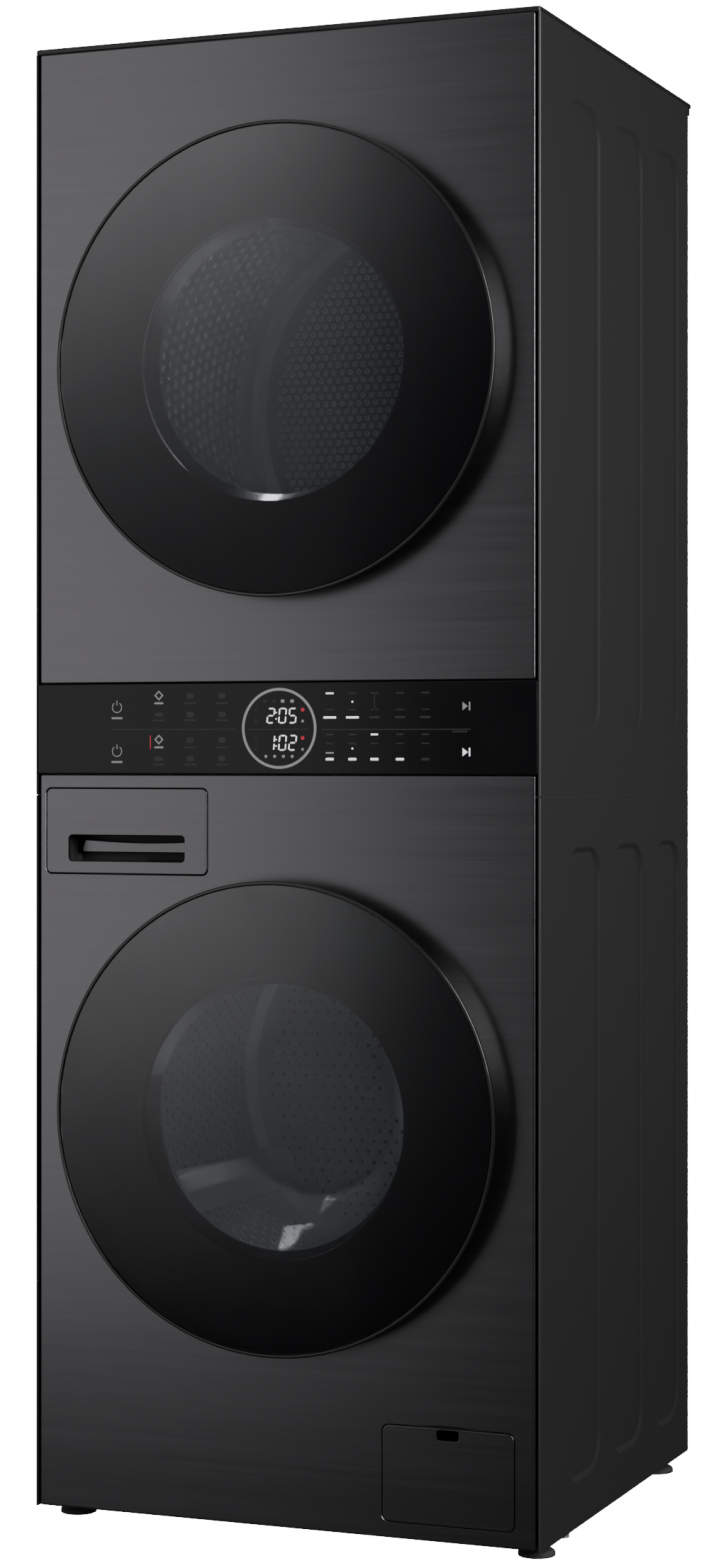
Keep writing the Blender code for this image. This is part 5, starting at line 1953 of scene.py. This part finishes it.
@dataclass
class WasherInside:
    """The washer's drum, paddles, gasket and filter cap."""

    drum_radius: float = 0.236
    wall: float = 0.0012
    front: float = -0.225
    rear: float = 0.150
    mouth: float = 0.178

    def build(self) -> None:
        """Builds the pieces."""
        self.axis = axis_height("washer_door_frame")
        self.drum()
        for index in range(3):
            turn = -2 * pi * index / 3
            made = lifter(
                f"washer_paddle_{index + 1}", (-0.200, 0.130), self.axis, turn, 0.2313,
                (0.045, 0.030, 0.012), PALE_PLASTIC
            )
            dress(made, PALE_PLASTIC, "washer_basket", f"washer_baffle_{index + 1}")
        self.gasket()
        self.filter_cap()

    def drum(self) -> None:
        """Builds the perforated drum."""
        inner = self.drum_radius - self.wall
        profile = [
            (0, self.rear), (self.drum_radius - 0.012, self.rear), (self.drum_radius, self.rear - 0.012),
            (self.drum_radius, self.front), (self.mouth, self.front), (self.mouth, self.front + 0.0012),
            (inner, self.front + 0.0012), (inner, self.rear - 0.0125),
            (inner - 0.011, self.rear - 0.0012), (0, self.rear - 0.0012),
        ]
        shell = shade(
            turned("washer_drum_shell", turned_profile(profile, 0.0010), DRUM_STEEL_AND_SHADE, 0.0, self.axis)
        )
        common = {"Axis_Height": self.axis, "Sides": 8}
        wall = common | {"Rows": 22, "Columns": 96, "Pitch": 0.0155, "Start": -0.205, "Radius": inner}
        plate = common | {
            "Rows": 34, "Columns": 30, "Pitch": 0.0150, "Start": self.rear - 0.0012, "Hub": 0.060,
            "Reach": 0.205
        }
        pieces = [shell]
        for label, pattern, values in (
            ("wall", Pattern.DRUM_SPOTS, wall), ("plate", Pattern.PLATE_SPOTS, plate)
        ):
            rim = {"Spot_Radius": 0.0038, "Top_Radius": 0.0030, "Rise": 0.0008}
            pieces.append(spots(f"{label}_rims", pattern, RIM_STEEL, **values, **rim))
            # painted shade: a dark disc in each hole
            hole_shade = {"Spot_Radius": 0.0026, "Top_Radius": 0.0025, "Rise": 0.0010}
            pieces.append(spots(f"{label}_holes", pattern, PAINTED_HOLE_SHADE, **values, **hole_shade))
        dress(joined("washer_drum_shell", pieces), DRUM_STEEL_AND_SHADE, "washer_basket", "washer_drum")

    def gasket(self) -> None:
        """Builds the rubber door gasket with its folds."""
        outer = [
            (0.2035, -0.2983), (0.2035, -0.2945), (0.1795, -0.2925), (0.1795, -0.2360), (0.1740, -0.2360)
        ]
        folds = []
        count = 24
        for index in range(count + 1):
            share = index / count
            folds.append((0.1722 + 0.0022 * cos(2 * pi * 3 * share), -0.2400 - 0.0460 * share))
        lip = [(0.1640, -0.2890), (0.1585, -0.2905), (0.1570, -0.2945), (0.1600, -0.2983)]
        profile = turned_profile([*outer, *folds, *lip], 0.0012, 3)
        made = turned("door_gasket", profile, GASKET, 0.0, self.axis)
        dress(shade(made), GASKET, "cabinet", "washer_door_gasket")

    def filter_cap(self) -> None:
        """Builds the drain filter's cap with its grip."""
        low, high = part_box("drain_filter_cap")
        x, z = (low.x + high.x) / 2, (low.z + high.z) / 2
        profile = [
            (0, -0.2616), (0.026, -0.2616), (0.030, -0.266), (0.030, -0.282), (0.027, -0.284),
            (0, -0.284)
        ]
        cap = turned("filter_cap", turned_profile(profile, 0.0010), PALE_PLASTIC, x, z, SMALL_STEPS)
        grip = soft_box(
            "grip", (x - 0.004, -0.2905, z - 0.023), (x + 0.004, -0.280, z + 0.023), PALE_PLASTIC, 0.0012
        )
        pieces = [shade(cap), shade(grip)]
        dress(joined("filter_cap", pieces), PALE_PLASTIC, "pump_cap", "drain_filter_cap")


@dataclass
class DryerInside:
    """The dryer's drum with its paddles, the air plate and the lint screen."""

    drum_radius: float = 0.260
    wall: float = 0.0012
    front: float = -0.255
    rear: float = 0.205
    mouth: float = 0.225

    def build(self) -> None:
        """Builds the pieces."""
        self.axis = axis_height("dryer_door_frame")
        self.drum()
        self.air_plate()
        self.lint_screen()

    def drum(self) -> None:
        """Builds the drum shell, dimpled wall and three paddles as one piece."""
        inner = self.drum_radius - self.wall
        profile = [
            (self.drum_radius, self.front), (self.drum_radius, self.rear), (inner, self.rear),
            (inner, self.front + 0.0012),
            (self.mouth, self.front + 0.0012), (self.mouth, self.front),
        ]
        pieces = [
            shade(
                turned(
                    "dryer_drum_shell", turned_profile(profile, 0.0005, 2), DRUM_STEEL_AND_SHADE, 0.0, self.axis
                )
            )
        ]
        dimples = {
            "Rows": 20, "Columns": 108, "Pitch": 0.0200, "Start": -0.215, "Radius": inner,
            "Axis_Height": self.axis, "Sides": 10
        }
        pieces.append(
            spots(
                "dimples", Pattern.DRUM_SPOTS, POLISHED, **dimples, Spot_Radius=0.0052,
                Top_Radius=0.0020, Rise=0.0018
            )
        )
        for index in range(3):
            turn = radians(-20) - 2 * pi * index / 3
            made = lifter(
                f"lifter_{index}", (-0.225, 0.175), self.axis, turn, inner + 0.0002,
                (0.045, 0.030, 0.010), DRUM_STEEL_AND_SHADE
            )
            pieces.append(made)
        dress(joined("dryer_drum_shell", pieces), DRUM_STEEL_AND_SHADE, "dryer_basket", "dryer_drum")

    def air_plate(self) -> None:
        """Builds the perforated plate that the warm air comes through."""
        front = 0.2094
        profile = [
            (0, 0.2116), (0.238, 0.2116), (0.238, front + 0.0006), (0.232, front), (0.055, front),
            (0.050, front - 0.003), (0, front - 0.003)
        ]
        # painted shade: the plate takes the near-black plastic so that the drum's far end looks shaded
        plate = shade(turned("air_plate", turned_profile(profile, 0.0012), DARK_PLASTIC, 0.0, self.axis))
        grid = {
            "Rows": 46, "Columns": 40, "Pitch": 0.0112, "Start": front, "Hub": 0.062, "Reach": 0.222,
            "Axis_Height": self.axis, "Sides": 8
        }
        rims = spots(
            "plate_rims", Pattern.PLATE_SPOTS, RIM_STEEL, **grid, Spot_Radius=0.0036, Top_Radius=0.0030,
            Rise=0.0010
        )
        # painted shade: a dark disc in each hole
        holes = spots(
            "plate_holes", Pattern.PLATE_SPOTS, PAINTED_HOLE_SHADE, **grid, Spot_Radius=0.0016, Top_Radius=0.0015,
            Rise=0.0013
        )
        dress(joined("air_plate", [plate, rims, holes]), DARK_PLASTIC, "cabinet")

    def lint_screen(self) -> None:
        """Builds the lint screen: a slatted panel between ribs, under a thick grip."""
        low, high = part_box("lint_filter")
        face, back, top = low.y + 0.0040, low.y + 0.0080, high.z - 0.0120
        panel = soft_box(
            "lint_screen_panel", (low.x, face, low.z), (high.x, back, top), PALE_PLASTIC, 0.0010
        )
        bake(panel)
        centre = (low.x + high.x) / 2
        pieces = []
        for side in (-1, 1):
            ends = sorted((centre + side * 0.0055, centre + side * 0.0745))
            shape = bmesh.new()
            add_box(shape, (ends[0], face - 0.01, low.z + 0.009), (ends[1], back + 0.01, top - 0.010))
            carve(panel, to_object("window", shape))
            count = 24
            values = {
                "Count": count, "Origin": (ends[0] + 0.0015, (face + back) / 2, (low.z + top) / 2),
                "Step": ((ends[1] - ends[0] - 0.003) / (count - 1), 0, 0),
                "Size": (0.0009, 0.0022, top - low.z - 0.0180), "Tilt": (0, 0, 0),
            }
            pieces.append(laid_out(f"lint_slats_{side}", Pattern.SLATS, PALE_PLASTIC, values))
        for x in (-0.0785, 0.0, 0.0785):
            start = (centre + x - 0.0030, low.y + 0.0015, low.z + 0.0020)
            rib = soft_box(
                "rib", start, (start[0] + 0.0060, low.y + 0.0110, high.z - 0.0100), PALE_PLASTIC, 0.0010
            )
            pieces.append(shade(rib))
        grip = soft_box("grip", (low.x, low.y, high.z - 0.0160), high, PALE_PLASTIC, 0.0025)
        pieces.extend((shade(panel), shade(grip)))
        dress(joined("lint_screen_panel", pieces), PALE_PLASTIC, "lint_screen", "lint_filter")


# --------------------------------------------------------------------------------------
# Drawer, service door and water fittings
# --------------------------------------------------------------------------------------


@dataclass
class DetergentDrawer:
    """The drawer's steel front with its grip, and the tray behind it."""

    slot_low: Point = (-0.2576, 0.7430)
    slot_high: Point = (-0.1151, 0.7725)
    slot_corner: float = 0.0045
    grip_low: Point = (-0.2510, 0.7530)
    grip_high: Point = (-0.1133, 0.7648)

    def build(self) -> None:
        """Builds the front and the tray."""
        self.front()
        self.tray()

    def front(self) -> None:
        """Builds the front plate, the dark pocket and the grip bar in it."""
        low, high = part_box("detergent_drawer_front")
        face, edge = low.y, 0.0011
        sheet = Sheet(front_place(face))
        profile = [(-edge - 0.0008, 0.0), *rounded_edge(edge, 4), (0.0, -0.008)]
        rings = sheet.steps(((low.x, low.z), (high.x, high.z)), 0.0063, profile)
        slot = (self.slot_low, self.slot_high)
        lip = ((0.0012, 0.0), (0.0004, -0.0001), (0.0, -0.0008), (0.0, -0.0035))
        sheet.fill(rings[0], sheet.steps(slot, self.slot_corner, lip)[0])
        plate = sheet.piece("drawer_front_plate", BLACK_STEEL, 0.0008)
        pocket = Sheet(front_place(face))
        walls = ((0.0006, -0.0030), (0.0015, -0.0045), (0.0015, -0.0270), (-0.0015, -0.0300))
        pocket.cap(pocket.steps(slot, self.slot_corner, walls)[-1])
        cup = pocket.piece("drawer_pocket", DARK_PLASTIC, 0.0014)
        made = joined("drawer_front_plate", [plate, cup, self.grip(face)])
        dress(made, BLACK_STEEL, "drawer", "detergent_drawer_front")

    def grip(self, face: float) -> bpy.types.Object:
        """The bar behind the slot, whose upper edge sags in the middle.

        Args:
            face: The y of the drawer's face.

        Returns:
            The shaded bar.
        """
        (x0, z0), (x1, z1) = self.grip_low, self.grip_high
        sag, count = 0.0016, 16
        top = []
        for index in range(count + 1):
            share = index / count
            top.append(
                (
                    x1 - (x1 - x0 - 0.004) * share,
                    z1 - sag * sin(pi * min(1.0, share * 1.05)) + 0.0014 * share**3
                )
            )
        outline = [(x0 + 0.001, z0), (x1, z0), *top, (x0, z0 + 0.004)]
        shape = bmesh.new()
        add_prism(shape, outline, front_place(face), -0.0295, -0.0211)
        bar = to_object("drawer_grip", shape, BLACK_STEEL)
        bevel = bar.modifiers.new("edges", "BEVEL")
        bevel.width, bevel.segments, bevel.limit_method = 0.0006, 3, "ANGLE"
        return shade(bar)

    def tray(self) -> None:
        """Builds the tray with its three rounded wells and a rolled rim."""
        low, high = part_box("detergent_drawer")
        sheet = Sheet(level_place())
        rim = high.z
        outside = (
            (-0.0012, rim), (-0.0003, rim - 0.0003), (0.0, rim - 0.0012), (0.0, low.z + 0.006),
            (-0.0012, low.z + 0.002), (-0.004, low.z),
        )
        rings = sheet.steps(((low.x, low.y), (high.x, high.y)), 0.006, outside, 6)
        sheet.cap(rings[-1])
        split_x, split_y, wall = -0.1620, -0.1500, 0.0024
        wells = (
            ((low.x + wall, low.y + wall), (split_x - 0.001, high.y - wall)),
            ((split_x + 0.001, low.y + wall), (high.x - wall, split_y - 0.001)),
            ((split_x + 0.001, split_y + 0.001), (high.x - wall, high.y - wall)),
        )
        inside = (
            (0.0, rim), (-0.0003, rim - 0.0008), (-0.0008, rim - 0.010), (-0.0015, low.z + 0.010),
            (-0.004, low.z + 0.0045), (-0.009, low.z + 0.0022),
        )
        mouths = []
        for box in wells:
            steps = sheet.steps(box, 0.006, inside, 6)
            sheet.cap(steps[-1])
            mouths.append(steps[0])
        sheet.fill(rings[0], *mouths)
        made = shade(to_object("drawer_tray", sheet.shape, PALE_PLASTIC))
        dress(made, PALE_PLASTIC, "drawer", "detergent_drawer")


@dataclass
class ServiceDoor:
    """The small door over the drain filter."""

    corner: float = 0.008
    notch_half: float = 0.0125
    notch_depth: float = 0.0110

    def build(self) -> None:
        """Builds the plate, its finger notch and the rim behind it."""
        low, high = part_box("filter_door")
        sheet = Sheet(front_place(low.y))
        edge = 0.0009
        profile = [(-edge - 0.0006, 0.0), *rounded_edge(edge, 4), (0.0, -0.0016)]
        rings = sheet.steps(((low.x, low.z), (high.x, high.z)), self.corner, profile)
        centre, top = (low.x + high.x) / 2, high.z - 0.0017
        notch = (centre - self.notch_half, top - self.notch_depth), (centre + self.notch_half, top)
        lip = ((0.0008, 0.0), (0.0002, -0.0002), (0.0, -0.0010), (0.0, -0.0030))
        sheet.fill(rings[0], sheet.steps(notch, 0.0030, lip, 5)[0])
        plate = sheet.piece("service_door_plate", BLACK_STEEL, 0.0007)
        rim = Sheet(front_place(low.y))
        inset = (low.x + 0.010, low.z + 0.014), (high.x - 0.010, high.z - 0.016)
        rim.steps(inset, 0.006, ((0.0, -0.0010), (0.0, -0.0068)), 5)
        behind = rim.piece("service_door_rim", DARK_PLASTIC, 0.0014)
        made = joined("service_door_plate", [plate, behind])
        dress(made, BLACK_STEEL, "service_door", "filter_door")


@dataclass
class WaterFittings:
    """The inlet valve with its two threaded necks, and the drain spigot."""

    necks: Point = (-0.132, -0.088)
    neck_z: float = 0.770

    def build(self) -> None:
        """Builds the fittings on the back."""
        pieces = [
            soft_box("inlet_valve", (-0.155, 0.215, 0.750), (-0.065, 0.286, 0.790), PALE_PLASTIC, 0.003)
        ]
        shade(pieces[0])
        for index, x in enumerate(self.necks):
            thread = [(0.0, 0.284)]
            pitch, count = 0.0020, 15
            thread += [(0.0105, 0.284)]
            for turn in range(count):
                y = 0.296 + pitch * turn
                thread += [(0.0112, y), (0.0125, y + pitch * 0.35), (0.0125, y + pitch * 0.65)]
            thread += [(0.0112, 0.3275), (0.0110, 0.330), (0.0085, 0.330), (0.0080, 0.326), (0.0, 0.326)]
            pieces.append(
                shade(turned(f"neck_{index}", thread, PALE_PLASTIC, x, self.neck_z, SMALL_STEPS))
            )
        dress(joined("inlet_valve", pieces), PALE_PLASTIC, "cabinet", "water_inlet_valve")
        profile = [
            (0.0105, 0.2500), (0.0105, 0.3250), (0.0128, 0.3250), (0.0140, 0.3220), (0.0125, 0.3180),
            (0.0125, 0.3120),
            (0.0138, 0.3090), (0.0125, 0.3050), (0.0125, 0.2640), (0.0180, 0.2620), (0.0180, 0.2598),
            (0.0140, 0.2598), (0.0140, 0.2500),
        ]
        spigot = turned(
            "drain_outlet", turned_profile(profile, 0.0006, 3), DARK_PLASTIC, 0.230, 0.760, SMALL_STEPS
        )
        dress(shade(spigot), DARK_PLASTIC, "cabinet")


# --------------------------------------------------------------------------------------
# Studio
# --------------------------------------------------------------------------------------


@dataclass(frozen=True)
class Lamp:
    """A rectangular studio light."""

    name: str
    place: tuple[float, float, float]
    aim: tuple[float, float, float]
    size: Point
    power: float
    colour: Colour = (1.0, 1.0, 1.0)
    hidden: bool = False  # not seen through glass
    spread: float = 180.0  # degrees

    def build(self) -> None:
        """Adds the light to the scene."""
        data = bpy.data.lights.new(self.name, "AREA")
        data.shape = "RECTANGLE"
        data.size, data.size_y = self.size
        data.energy = self.power
        data.spread = radians(self.spread)
        data.color = self.colour
        obj = bpy.data.objects.new(self.name, data)
        obj.visible_camera = obj.visible_transmission = not self.hidden
        obj.location = self.place
        direction = Vector(self.aim) - Vector(self.place)
        obj.rotation_euler = direction.to_track_quat("-Z", "Y").to_euler()
        bpy.context.scene.collection.objects.link(obj)


@dataclass
class Studio:
    """The floor, the backdrop light, the lamps and the camera."""

    lens: float = 75.41
    place: tuple[float, float, float] = (1.4155, -3.5944, 0.8610)
    heading: float = radians(21.807)
    rise: float = -40 / 2212
    surround: float = 16.0  # how bright the white behind the object is

    LAMPS = (
        Lamp("key_card", (-1.36, -2.00, 1.34), (-1.36, 0.0, 1.34), (1.60, 2.86), 18.5),
        Lamp("edge_strip", (2.45, -1.55, 1.90), (0.3, -0.3, 1.3), (0.18, 1.8), 88.0),
        Lamp("side_card", (1.60, 3.20, 1.10), (0.3, 0.0, 0.9), (1.6, 2.2), 0.8),
        Lamp("left_card", (-3.00, 1.80, 1.20), (-0.3, 0.0, 0.9), (1.6, 2.2), 9.0),
        Lamp("top_soft", (0.0, -0.6, 3.4), (0.0, 0.0, 0.0), (1.6, 1.6), 8.0),
        Lamp(
            "dryer_lamp", (-0.10, -0.02, 1.405), (-0.02, -0.17, 1.08), (0.26, 0.04), 0.9, hidden=True,
            spread=90.0
        ),
        Lamp(
            "plate_lamp", (-0.10, -0.15, 1.30), (0.14, 0.21, 1.20), (0.04, 0.04), 0.5, hidden=True,
            spread=50.0
        ),
        Lamp(
            "washer_lamp", (-0.06, -0.04, 0.590), (0.0, -0.17, 0.28), (0.20, 0.04), 0.30, hidden=True,
            spread=90.0
        ),
        Lamp(
            "basket_lamp", (-0.08, -0.15, 0.50), (0.12, 0.14, 0.42), (0.04, 0.04), 0.16, hidden=True,
            spread=50.0
        ),
    )

    def build(self) -> None:
        """Builds the studio."""
        self.floor()
        self.world()
        for lamp in self.LAMPS:
            lamp.build()
        self.camera()

    def floor(self) -> None:
        """Lays a wide pale floor that doesn't show in the gloss."""
        shape = bmesh.new()
        bmesh.ops.create_grid(shape, x_segments=4, y_segments=4, size=12.0)
        mesh = bpy.data.meshes.new("studio_floor")
        shape.to_mesh(mesh)
        shape.free()
        material = bpy.data.materials.new("studio_floor")
        material.use_nodes = True
        inputs = {
            "Base Color": (0.86, 0.86, 0.86, 1.0), "Roughness": 0.9,
            "Emission Color": (1.0, 1.0, 1.0, 1.0), "Emission Strength": self.surround,
        }
        NodeMaker(material.node_tree).feed(material.node_tree.nodes["Principled BSDF"], inputs)
        mesh.materials.append(material)
        floor = bpy.data.objects.new("studio_floor", mesh)
        floor.location.z = -0.0002
        floor.visible_glossy = False
        floor.visible_diffuse = False
        floor.visible_transmission = False
        floor.visible_shadow = False
        bpy.context.scene.collection.objects.link(floor)

    def world(self) -> None:
        """Makes a white surround for the eye and a dim one for the object."""
        world = bpy.data.worlds.new("studio")
        bpy.context.scene.world = world
        world.use_nodes = True
        maker = NodeMaker(world.node_tree)
        plain = world.node_tree.nodes["Background"]
        maker.feed(plain, {"Color": (0.9, 0.93, 1.0, 1.0), "Strength": 0.06})
        inputs = {"Color": (1.0, 1.0, 1.0, 1.0), "Strength": self.surround}
        seen = maker.add("ShaderNodeBackground", inputs)
        eye = maker.add("ShaderNodeLightPath").outputs["Is Camera Ray"]
        mixed = maker.add("ShaderNodeMixShader", {0: eye, 1: plain.outputs[0], 2: seen.outputs[0]})
        maker.feed(world.node_tree.nodes["World Output"], {0: mixed.outputs[0]})

    def camera(self) -> None:
        """Places the camera and makes it the scene's."""
        data = bpy.data.cameras.new("camera")
        data.lens = self.lens
        data.sensor_width = 36.0
        data.shift_y = self.rise
        camera = bpy.data.objects.new("camera", data)
        camera.location = self.place
        camera.rotation_euler = (pi / 2, 0.0, self.heading)
        bpy.context.scene.collection.objects.link(camera)
        bpy.context.scene.camera = camera


def dress_carried_nodes() -> None:
    """Gives the solids that stay in view their finishes."""
    for finish, nodes in CARRIED.items():
        for node in nodes:
            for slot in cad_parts[node].material_slots:
                slot.material = finish.material()
            LOG.info("%s keeps its shape in %s", node, finish.name)


def main() -> None:
    """Builds the tower's sub-assemblies in order, then the studio."""
    logging.basicConfig(level=logging.INFO, format="%(name)s: %(message)s")
    Studio().build()
    Cabinet().build()
    ControlBand().build()
    # the washer's cover gets a weaker painted sheen
    LaundryDoor("washer", "washer_door_bowl", painted_shine=0.38).build()
    LaundryDoor("dryer", "dryer_door_window").build()
    WasherInside().build()
    DryerInside().build()
    DetergentDrawer().build()
    ServiceDoor().build()
    WaterFittings().build()
    dress_carried_nodes()


if __name__ == "__main__":
    main()
